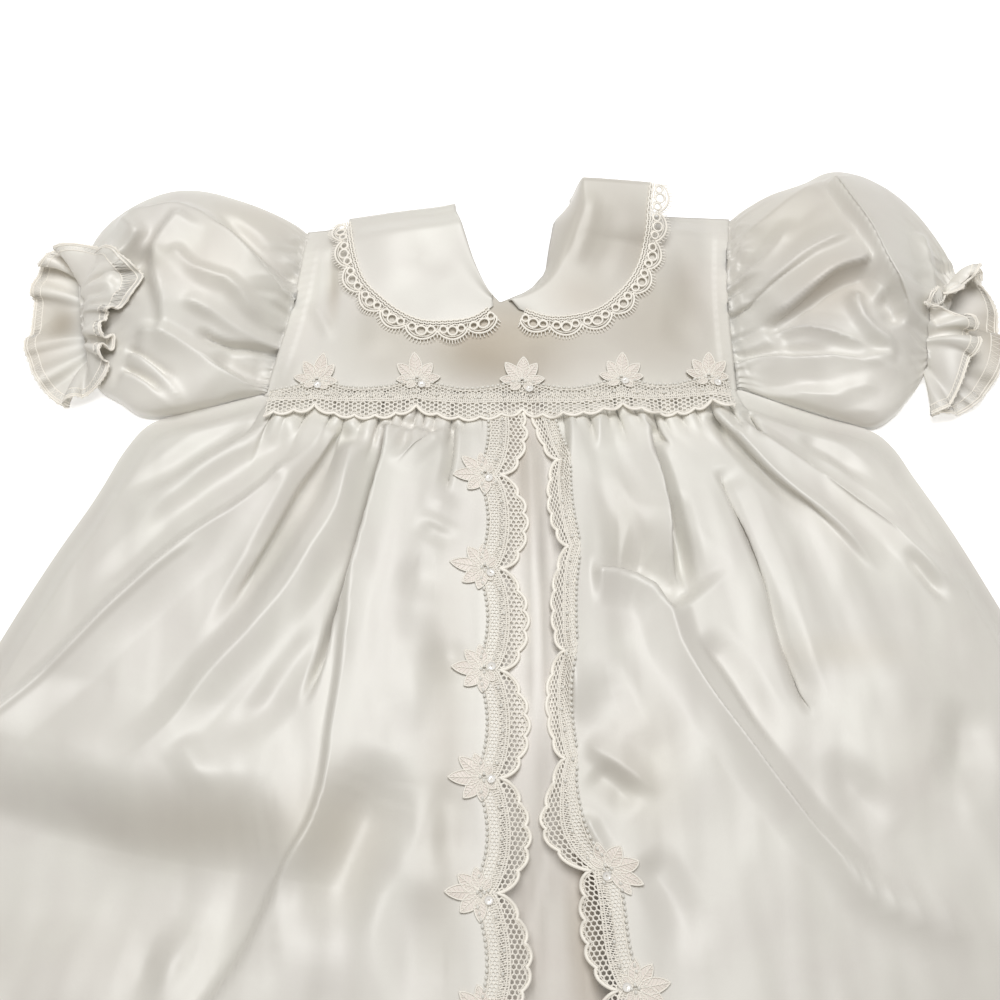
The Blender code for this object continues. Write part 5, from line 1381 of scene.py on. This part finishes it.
def fan_folds(fans):
    """Uneven gathers that run from a seam toward a point, as folds of a table."""
    folds = []
    for fan in fans:
        rng = np.random.default_rng(fan.seed)
        start, end, aim = (np.array(p, float) for p in (fan.start, fan.end, fan.aim))
        for k in range(fan.count):
            root = start + (end - start) * (k + 0.5 + rng.uniform(-0.35, 0.35)) / fan.count
            ahead = unit(aim - root)
            bend = rng.uniform(-0.22, 0.22) * np.array([-ahead[1], ahead[0]])
            length = rng.uniform(fan.short, fan.long)
            depth = fan.depth * rng.uniform(0.45, 1.0)
            width = rng.uniform(2.6, 3.8) + 0.04 * length
            points = [root + ahead * length * q + bend * length * q * q for q in (0.0, 0.35, 0.7, 1.0)]
            sign = -1.0 if k % 3 else 0.8
            folds.append(Fold(height=sign * depth, left=width, right=width * rng.uniform(0.6, 1.3),
                              crest=0.9, fade_in=1.5, fade_out=0.75 * length, points=points))
    return folds


def frill_grid(columns):
    """Ruffle through its control columns, closed round, with waves that grow to its edge."""
    closed = columns + columns[:3]
    turn = 1.0 + len(columns) * np.arange(FRILL_STEPS) / FRILL_STEPS
    knots = np.arange(len(closed), dtype=float)
    lines = []
    for part in Frill._fields:
        places = np.array([getattr(column, part) for column in closed], float)
        lines.append(np.stack([curve_at(turn, knots, places[:, k]) for k in range(3)], axis=1))
    s = np.linspace(0.0, 1.0, FRILL_ROWS)[:, None, None]
    gather, middle, edge = lines
    grid = (1 - s) * (1 - 2 * s) * gather + 4 * s * (1 - s) * middle + s * (2 * s - 1) * edge
    along = unit(np.roll(grid, -1, 1) - np.roll(grid, 1, 1))
    outward = unit(np.gradient(grid, axis=0))
    normal = unit(np.cross(along, outward))
    # Waves of uneven length, height and lean
    angle = 2 * math.pi * np.arange(FRILL_STEPS) / FRILL_STEPS
    phase = FRILL_WAVES * angle + 1.3 * np.sin(3 * angle) + 0.8 * np.sin(7 * angle + 1)
    size = 0.62 + 0.38 * np.sin(5 * angle + 2)
    reach = (0.25 + 0.75 * s[..., 0]) * FRILL_DEPTH * size
    wave = 1.0 - 2.0 * np.abs(np.cos(0.5 * phase + 0.25 * s[..., 0])) ** 1.5
    skew = 1.1 * reach * np.sin(2 * phase + 0.6) * s[..., 0]
    grid = grid + (reach * wave)[..., None] * normal + (0.45 * skew)[..., None] * along
    grid[..., 2] = np.maximum(grid[..., 2], 0.35 + 0.15 * np.abs(wave))
    return grid


def cuff(name, columns, node, lace_node, shading_spots, on_sleeve):
    """A frill and, along its edge, cords, a zigzag and small loops of lace."""
    grid = frill_grid(columns)
    turned = np.arange(FRILL_STEPS) * len(columns) / FRILL_STEPS
    front = (turned > FRILL_FRONT[0]) & (turned < FRILL_FRONT[1])
    over = grid[:, front]
    rest = on_sleeve(over[..., 0], over[..., 1])
    rise = FRILL_REST + FRILL_OPEN * np.linspace(0.0, 1.0, FRILL_ROWS)[:, None]
    over[..., 2] = np.maximum(over[..., 2], np.where(rest > 1.0, rest + rise, 0.0))
    grid[:, front] = over
    heap = Heap()
    heap.add(grid, grid_faces(*grid.shape[:2], closed=True))
    piece = heap.made(f"{name}_cloth", SATIN, node, "satin", shading_spots)
    count = grid.shape[1]
    lace = Heap()
    last = FRILL_ROWS - 1
    for back, radius in CUFF_CORDS:
        tubes(lace, grid[last - back], radius, 4, closed=True)
    at = np.arange(0, count + 1) % count
    odd = (np.arange(len(at)) % 2)[:, None] == 1
    tubes(lace, np.where(odd, grid[last - 1, at], grid[last - 4, at]), 0.26)
    at = np.arange(0, count, 3)
    loops = []
    for q in np.linspace(0.0, 1.0, 5):
        mid = grid[last, at] * (1 - q) + grid[last, (at + 2) % count] * q
        away = unit(grid[last, at] - grid[last - 2, at])
        loops.append(mid + away * CUFF_LOOP * math.sin(math.pi * q))
    tubes(lace, np.stack(loops, axis=1), 0.2)
    lace.made(f"{name}_edging", LACE, lace_node, "lace")


# Lace

class Bed:
    """Where a strip of lace lies: plan points and heights on a grid of u and v."""

    def __init__(self, us, vs, points):
        self.us, self.vs, self.points = us, vs, points

    def place(self, u, v, w):
        u, v, w = np.broadcast_arrays(*(np.asarray(a, float) for a in (u, v, w)))
        a = np.clip((u - self.us[0]) / (self.us[1] - self.us[0]), 0, len(self.us) - 1.001)
        b = np.clip((v - self.vs[0]) / (self.vs[1] - self.vs[0]), 0, len(self.vs) - 1.001)
        i, j = a.astype(int), b.astype(int)
        a, b = (a - i)[..., None], (b - j)[..., None]
        return blended(self.points, i, i + 1, j, j + 1, a, b) + UP * w[..., None]

    def thread(self, heap, u, v, w, radius, sides=3, closed=False):
        tubes(heap, self.place(u, v, w), radius, sides, closed)


def eased(z, rounds=1):
    """Highest of the neighbours, then their mean, so that lace clears what it lies on."""
    for k in range(2 * rounds):
        wide = np.pad(z, 1, mode="edge")
        parts = [wide[i:i + z.shape[0], j:j + z.shape[1]] for i in range(3) for j in range(3)]
        z = np.mean(parts, axis=0) if k % 2 else np.max(parts, axis=0)
    return z


def ground_of(pieces):
    """Ray caster onto the tops of pieces; off them it gives 0."""
    trees = []
    for piece in pieces:
        corners = [v.co for v in piece.data.vertices]
        trees.append(BVHTree.FromPolygons(corners, [p.vertices for p in piece.data.polygons]))

    def ground(x, y):
        heights = np.zeros(x.shape)
        down = Vector((0.0, 0.0, -1.0))
        flat = heights.ravel()
        for k, (px, py) in enumerate(zip(x.ravel(), y.ravel())):
            start = Vector((MM * px, MM * py, 0.2))
            for tree in trees:
                hit = tree.ray_cast(start, down)[0]
                if hit is not None:
                    flat[k] = max(flat[k], hit.z / MM)
        return heights
    return ground


def front_bed(side, ground):
    us = np.arange(0.0, FRONT_FROM - FRONT_TO + 0.1, FRONT_BED_STEP)
    vs = np.arange(LACE_FROM_V, LACE_TO_V + 0.1, BED_STEP)
    down = table_at(SKIRT_ROWS, "centre_y", "down", FRONT_FROM - us)[:, None]
    down = np.broadcast_to(down, (len(us), len(vs)))
    edge = front_edge_x(side, down)
    along_y = FRONT_FROM - us
    tucked = smooth_step((along_y - RIGHT_BARE_TO) / TUCKED_FADE)[:, None] if side > 0 else 0.0
    x = edge - side * vs[None] * (1.0 - TUCKED_SHARE * tucked)
    y = skirt_point(across_at(x, down), down)[1]
    z = ground(x, y)
    at_edge = z[:, [int(np.argmin(np.abs(vs + BED_STEP)))]]
    free = np.maximum(vs, 0.0)[None]
    droop = at_edge - LACE_DROOP * free - LACE_CURL * free ** 2
    z = np.where(vs[None] > LACE_FREE_FROM, np.maximum(z + BED_GAP, droop), z)
    return Bed(us, vs, np.stack([x, y, eased(z) + BED_GAP], axis=-1))


def waist_bed(ground):
    us = np.arange(0.0, WAIST_TO - WAIST_FROM, BED_STEP)
    vs = np.arange(LACE_FROM_V, LACE_TO_V + 0.1, BED_STEP)
    x = np.broadcast_to((us + WAIST_FROM)[:, None], (len(us), len(vs)))
    y = waist_y(x) + WAIST_CORD_Y + WAIST_CORD_V - vs[None]
    z = ground(x, y)
    return Bed(us, vs, np.stack([x, y, eased(z, 3) + 0.3], axis=-1))


def collar_bed(edge, outward_side, ground):
    """Lace along a collar's edge: it leaves the edge's height and falls to what lies below."""
    length = line_length(edge)
    us = np.arange(0.0, length, BED_STEP)
    vs = np.arange(-3.0, 13.6, BED_STEP)
    line = along_points(edge, us / length)
    ahead = unit(np.gradient(line[:, :2], axis=0))
    out = outward_side * np.stack([ahead[:, 1], -ahead[:, 0]], axis=1)
    plan = line[:, None, :2] + out[:, None] * vs[None, :, None]
    falling = line[:, None, 2] + COLLAR_LACE_RISE - COLLAR_LACE_FALL * np.maximum(vs, 0.0)[None]
    z = np.maximum(ground(plan[..., 0], plan[..., 1]) + BED_GAP, falling)
    return Bed(us, vs, np.concatenate([plan, eased(z)[..., None]], axis=2)), length


def arc(phase):
    return np.sin(math.pi * phase) ** SCALLOP_POWER


def scallop_v(phase, shape):
    """Outer edge of the lace at a phase of its repeat: one large arc of small ones."""
    small = SMALL_ARC_DEPTH * np.abs(np.sin(math.pi * SMALL_ARCS * phase)) ** 0.7
    return shape.notch + shape.depth * arc(phase) + small


def net(heap, bed, first, last, low_v, high_v, w, cell, thread):
    """Hexagonal net between low_v(u) and high_v(u)."""
    side = cell / math.sqrt(3.0)
    starts, ends = [], []
    columns = int((last - first) / (1.5 * side)) + 1
    rows = int(NET_WIDTH / cell) + 2
    for c in range(columns):
        cu = first + 1.5 * side * c
        cv = NET_FROM_V + cell * (np.arange(rows) + 0.5 * (c % 2))
        corner = [(cu + side * math.cos(math.radians(a)), cv + side * math.sin(math.radians(a)))
                  for a in (0, 60, 120, 180)]
        for k in range(3):
            (u0, v0), (u1, v1) = corner[k], corner[k + 1]
            starts.append(np.stack([np.full(rows, u0), v0], axis=1))
            ends.append(np.stack([np.full(rows, u1), v1], axis=1))
    starts, ends = np.concatenate(starts), np.concatenate(ends)
    mid = 0.5 * (starts + ends)
    keep = (mid[:, 1] > low_v(mid[:, 0])) & (mid[:, 1] < high_v(mid[:, 0]))
    keep &= (starts[:, 0] > first) & (ends[:, 0] > first)
    lines = np.stack([starts[keep], ends[keep]], axis=1)
    bed.thread(heap, lines[..., 0], lines[..., 1], w, thread)


def petal(heap, fills, bed, u, v, turn, length, width, w):
    """One leaf of a flower: a thin fill, and the cord round it and its veins in thread."""
    angle = math.radians(turn)
    t = np.linspace(0.0, 1.0, 9)
    half = 0.5 * width * np.sin(math.pi * t ** 0.85) ** 0.75
    along = PETAL_ROOT + (length - PETAL_ROOT) * t

    def plan(run, side):
        return (u + run * math.sin(angle) + side * math.cos(angle),
                v - run * math.cos(angle) + side * math.sin(angle))

    rows = []
    for share, rise in ((-1.0, 0.0), (-0.5, 0.35), (0.0, 0.15), (0.5, 0.35), (1.0, 0.0)):
        rows.append(bed.place(*plan(along, share * half), w + rise))
    fills.add(np.stack(rows), grid_faces(5, 9))
    for share in (-1.0, 1.0):
        bed.thread(heap, *plan(along, share * half), w + 0.25, 0.38)
    bed.thread(heap, *plan(along, 0.0 * along), w + 0.4, 0.26)
    ribs = []
    for k in range(2, 8):
        for share in (-0.85, 0.85):
            fu, fv = plan(np.array([along[k - 1], along[k]]), np.array([0.0, share * half[k]]))
            ribs.append(np.stack([fu, fv], axis=1))
    ribs = np.array(ribs)
    bed.thread(heap, ribs[..., 0], ribs[..., 1], w + 0.45, 0.17)


def crossing(heap, bed, places, low, high, w, lean, radius):
    """Short stitches from low to high at each place along the lace."""
    u = np.stack([places, places + lean], axis=1)
    v = np.stack([low, high], axis=1)
    bed.thread(heap, u, v, w, radius)


def lace_band(name, bed, first, last, flowers, phase_of, shape, node, bare=(0.0, 0.0)):
    """The scalloped lace: net, cords, stitches and flowers, with pearls and sequins apart."""
    heap, pearls, sequins = Heap(), [], []

    def outer(u):
        return scallop_v(phase_of(u), shape)

    def cord(u):
        return shape.cord + shape.cord_arc * arc(phase_of(u))

    def bead(u):
        return shape.bead + shape.bead_arc * np.sin(math.pi * phase_of(u))

    net(heap, bed, first, last, cord, lambda u: outer(u) - 0.3, 0.1, NET_CELL, THREAD)
    net(heap, bed, first, last, bead, cord, 0.0, 0.75 * NET_CELL, FINE_THREAD)
    u = np.arange(first, last, 0.8)
    # Threads along the lace: the line each follows, its shift, height, radius and sides
    for line, shift, w, radius, sides in (
            (outer, 0.0, 0.45, CORD, 5), (outer, -1.5, 0.3, 0.26, 3), (cord, 0.0, 0.35, 0.42, 3),
            (cord, -1.3, 0.35, 0.36, 3), (cord, -4.6, 0.35, 0.2, 3), (bead, 1.1, 0.3, 0.3, 3)):
        bed.thread(heap, u, line(u) + shift, w, radius, sides)
    # Stitches over the edge, then hatching and short stitches beside the cord
    ticks = np.arange(first + 0.5, last, 1.0)
    crossing(heap, bed, ticks, outer(ticks) - 1.1, outer(ticks) + 0.75, 0.5, 0.15, 0.2)
    hatch = np.arange(first + 1.0, last, 1.0)
    crossing(heap, bed, hatch, cord(hatch) - 1.6, cord(hatch) - 4.4, 0.25, 0.9, 0.26)
    crossing(heap, bed, hatch, cord(hatch) + 0.1, cord(hatch) - 1.4, 0.4, 0.3, 0.3)
    rng = np.random.default_rng(len(name) + int(first))
    fills = Heap()
    for flower in flowers:
        if not first - 4 < flower < last + 4 or bare[0] < flower < bare[1]:
            continue
        sway = rng.uniform(-9, 9)
        for leaf in PETALS:
            size = rng.uniform(0.9, 1.06)
            petal(heap, fills, bed, flower, shape.flower, leaf.turn + sway + rng.uniform(-5, 5),
                  leaf.length * size, leaf.width, 0.45)
        pearls.extend([(flower + PEARL_RING * math.cos(a), shape.flower + PEARL_RING * math.sin(a),
                        1.2) for a in np.arange(0, 6.2, 1.57)])
        sequins.append((flower + rng.uniform(-1.5, 4.0), shape.flower + rng.uniform(1.0, 4.5), 1.3))
    for start in np.arange(first + 1.5, last, BEAD_PITCH):
        if min(abs(start - f) for f in flowers) > 4.0:
            pearls.append((start, float(bead(np.array([start]))[0]), 0.9))
    for start in np.arange(first + 7.0, last, 11.0):
        level = float(cord(np.array([start]))[0])
        pearls.append((start + rng.uniform(-2, 2), level - 3.0 + rng.uniform(-0.8, 0.8), 0.8))
    heap.made(name, LACE, node, "lace")
    fills.made(name + "_petals", PETAL, None, "lace")
    pearls = np.array(pearls)
    beads = Heap()
    centres = bed.place(*pearls.T)
    ahead = bed.place(pearls[:, 0] + 0.5, pearls[:, 1], pearls[:, 2]) - centres
    balls(beads, centres, BEAD_RADIUS, BEAD_STRETCH * unit(ahead))
    beads.made(name + "_pearls", PEARLS, None, "lace")
    sequins = np.array(sequins)
    shine = Heap()
    discs(shine, bed.place(*sequins.T), SEQUIN_RADIUS, rng.uniform(-0.25, 0.25, (len(sequins), 2)))
    shine.made(name + "_sequins", SEQUINS, None, "lace")


def collar_lace(name, bed, length, node):
    """Scallops with three rings each and a fringe of short picots."""
    heap = Heap()
    count = int(round(length / COLLAR_SCALLOP))
    step = length / count
    u = np.arange(0.0, length, 0.8)
    for v, radius in ((-0.9, 0.5), (0.5, 0.45), (1.7, 0.36)):
        bed.thread(heap, u, v + 0.25 * np.sin(u * 2.1), 0.45, radius, 4)
    stitches = np.arange(0.5, length, 1.2)
    bed.thread(heap, np.stack([stitches, stitches], axis=1), np.array([-1.4, 1.2]), 0.4, 0.2)
    around = np.linspace(0.0, 2 * math.pi, 15)[:-1]
    t = np.linspace(0.0, 1.0, 15)
    p = (np.arange(PICOTS) + 0.5) / PICOTS

    def scallop(phase):
        return COLLAR_BAND + COLLAR_ARC * np.sin(math.pi * phase) ** 0.7

    for k in range(count):
        start = k * step
        rings = []
        # Rings: place along the scallop, distance from the collar and radius
        for share, ring_v, size in ((0.2, 3.8, 1.75), (0.5, 4.7, 2.3), (0.8, 3.8, 1.75)):
            rings.append(np.stack([start + share * step + size * np.cos(around),
                                   ring_v + size * np.sin(around)], axis=1))
        rings = np.array(rings)
        bed.thread(heap, rings[..., 0], rings[..., 1], 0.4, 0.6, 4, closed=True)
        bed.thread(heap, start + t * step, scallop(t) - 0.6, 0.4, 0.62, 4)
        bed.thread(heap, start + t * step, scallop(t) - 2.0, 0.35, 0.3)
        pu = start + p * step
        crossing(heap, bed, pu, scallop(p) - 1.2, scallop(p) + 1.7, 0.35, (p - 0.5) * 1.6, 0.27)
        bars = start + step * np.array([0.02, 0.35, 0.65])
        crossing(heap, bed, bars, np.full(3, 1.8), np.full(3, 5.6), 0.3, 0.0, 0.26)
    heap.made(name, LACE, node, "lace")


# Whole gown

def build_gown():
    left = overskirt_panel("overskirt_left_cloth", -1, LEFT_FOLDS, LEFT_LAPS,
                           "overskirt_front_left")
    right = overskirt_panel("overskirt_right_cloth", 1, RIGHT_FOLDS, RIGHT_LAPS,
                            "overskirt_front_right")
    whole = lambda downs: np.ones(downs.shape)
    skirt_layer("overskirt_back_cloth", "overskirt_back", SATIN, "satin", whole,
                lambda a, d: FLAT_WALL + 0.0 * a,
                columns=60, rows=60)
    skirt_layer("underskirt_back_cloth", "underskirt_back", LINING, "lining", under_half,
                lambda a, d: UNDER_BACK_Z + FLAT_WALL + 0.0 * a,
                columns=50, rows=50)
    under = skirt_layer("underskirt_front_cloth", "underskirt_front", LINING, "lining",
                        under_half, under_top, columns=120,
                        rows=90, shading_spots=UNDER_PAINTED_SHADING)
    bodice = bodice_front()
    bodice_back("bodice_back_left_cloth", -1, "bodice_back_left")
    bodice_back("bodice_back_right_cloth", 1, "bodice_back_right")
    left_collar, right_collar = collar_left_grid(), collar_right_grid()
    collar_piece("collar_left_cloth", left_collar, "collar_left", COLLAR_LEFT_PAINTED_SHADING)
    collar_piece("collar_right_cloth", right_collar, "collar_right", COLLAR_RIGHT_PAINTED_SHADING)
    left_sleeve = sleeve("sleeve_left_cloth", SLEEVE_LEFT_ROWS,
                         SLEEVE_LEFT_FOLDS + fan_folds(LEFT_FANS), SLEEVE_LEFT_LAPS, 1,
                         "sleeve_left", SLEEVE_LEFT_PAINTED_SHADING)
    right_sleeve = sleeve("sleeve_right_cloth", SLEEVE_RIGHT_ROWS,
                          SLEEVE_RIGHT_FOLDS + fan_folds(RIGHT_FANS), SLEEVE_RIGHT_LAPS, -1,
                          "sleeve_right", SLEEVE_RIGHT_PAINTED_SHADING)
    cuff("cuff_left", LEFT_FRILL, "cuff_ruffle_left", "cuff_lace_left", CUFF_LEFT_PAINTED_SHADING,
         ground_of([left_sleeve]))
    cuff("cuff_right", RIGHT_FRILL, "cuff_ruffle_right", "cuff_lace_right", CUFF_RIGHT_PAINTED_SHADING,
         ground_of([right_sleeve]))

    on_bodice = ground_of([bodice])
    bed, length = collar_bed(left_collar[::2, -1], 1, on_bodice)
    collar_lace("collar_left_edging", bed, length, "collar_lace_left")
    bed, length = collar_bed(right_collar[::2, -1], -1, on_bodice)
    collar_lace("collar_right_edging", bed, length, "collar_lace_right")

    bed = waist_bed(ground_of([bodice, left, right, under]))
    flowers = [x - WAIST_FROM for x in WAIST_FLOWERS_X]

    def waist_phase(u):
        knots = [flowers[0] - REPEAT] + flowers + [flowers[-1] + REPEAT]
        return np.interp(u, knots, np.arange(float(len(knots)))) % 1.0

    lace_band("waist_edging", bed, 1.0, WAIST_TO - WAIST_FROM - 2.0, flowers, waist_phase,
              WAIST_SHAPE, "waist_lace")
    last = FRONT_FROM - FRONT_TO
    for name, side, flower_y, cloth, bare in (
            ("left", -1, LEFT_FLOWER_Y, left, (0.0, 0.0)),
            ("right", 1, RIGHT_FLOWER_Y, right, (0.0, FRONT_FROM - RIGHT_BARE_TO))):
        bed = front_bed(side, ground_of([cloth, under]))
        first_flower = FRONT_FROM - flower_y
        flowers = [first_flower + REPEAT * k for k in range(13)]
        lace_band(f"overskirt_{name}_edging", bed, 0.0, last, flowers,
                  lambda u, a=first_flower: ((u - a) / REPEAT) % 1.0, FRONT_LACE,
                  f"overskirt_lace_{name}", bare)


# Stage

def area_light(name, place, aim, size, power, colour):
    light = bpy.data.lights.new(name, "AREA")
    light.shape = "RECTANGLE"
    light.size, light.size_y = size
    light.energy = power
    light.color = colour
    lamp = bpy.data.objects.new(name, light)
    lamp.location = place
    lamp.rotation_euler = (Vector(aim) - Vector(place)).to_track_quat("-Z", "Y").to_euler()
    bpy.context.scene.collection.objects.link(lamp)


def build_stage():
    """Pale studio paper that glows a little, so that it stays white, and the light above it."""
    paper, _ = new_material("floor", {
        "Base Color": (0.9, 0.9, 0.9, 1.0), "Roughness": 0.9,
        "Emission Color": (1.0, 1.0, 1.0, 1.0), "Emission Strength": 0.45})
    mesh = bpy.data.meshes.new("floor")
    mesh.from_pydata([(-6, -6, 0), (6, -6, 0), (6, 6, 0), (-6, 6, 0)], [], [(0, 1, 2, 3)])
    mesh.materials.append(paper)
    floor = bpy.data.objects.new("floor", mesh)
    floor.location = (0.0, 0.0, -0.0005)
    bpy.context.scene.collection.objects.link(floor)
    world = bpy.data.worlds.new("studio")
    world.use_nodes = True
    set_sockets(world.node_tree.nodes["Background"],
                {"Color": (1.0, 0.93, 0.82, 1.0), "Strength": 0.285})
    bpy.context.scene.world = world
    area_light("key", (-0.02, 0.15, 1.2), (0.0, -0.1, 0.0), (0.7, 0.7), 12.5, (0.962, 0.976, 1.0))
    bpy.context.scene.view_settings.view_transform = "Standard"
    bpy.context.scene.view_settings.look = "None"


def build_camera():
    camera = bpy.data.cameras.new("camera")
    camera.lens = 48.0
    camera.sensor_width = 36.0
    camera.clip_start = 0.01
    eye = bpy.data.objects.new("camera", camera)
    eye.location = (0.0, -0.27707, 0.6139)
    eye.rotation_euler = (math.radians(20.0), 0.0, 0.0)
    bpy.context.scene.collection.objects.link(eye)
    bpy.context.scene.camera = eye


build_gown()
build_stage()
build_camera()
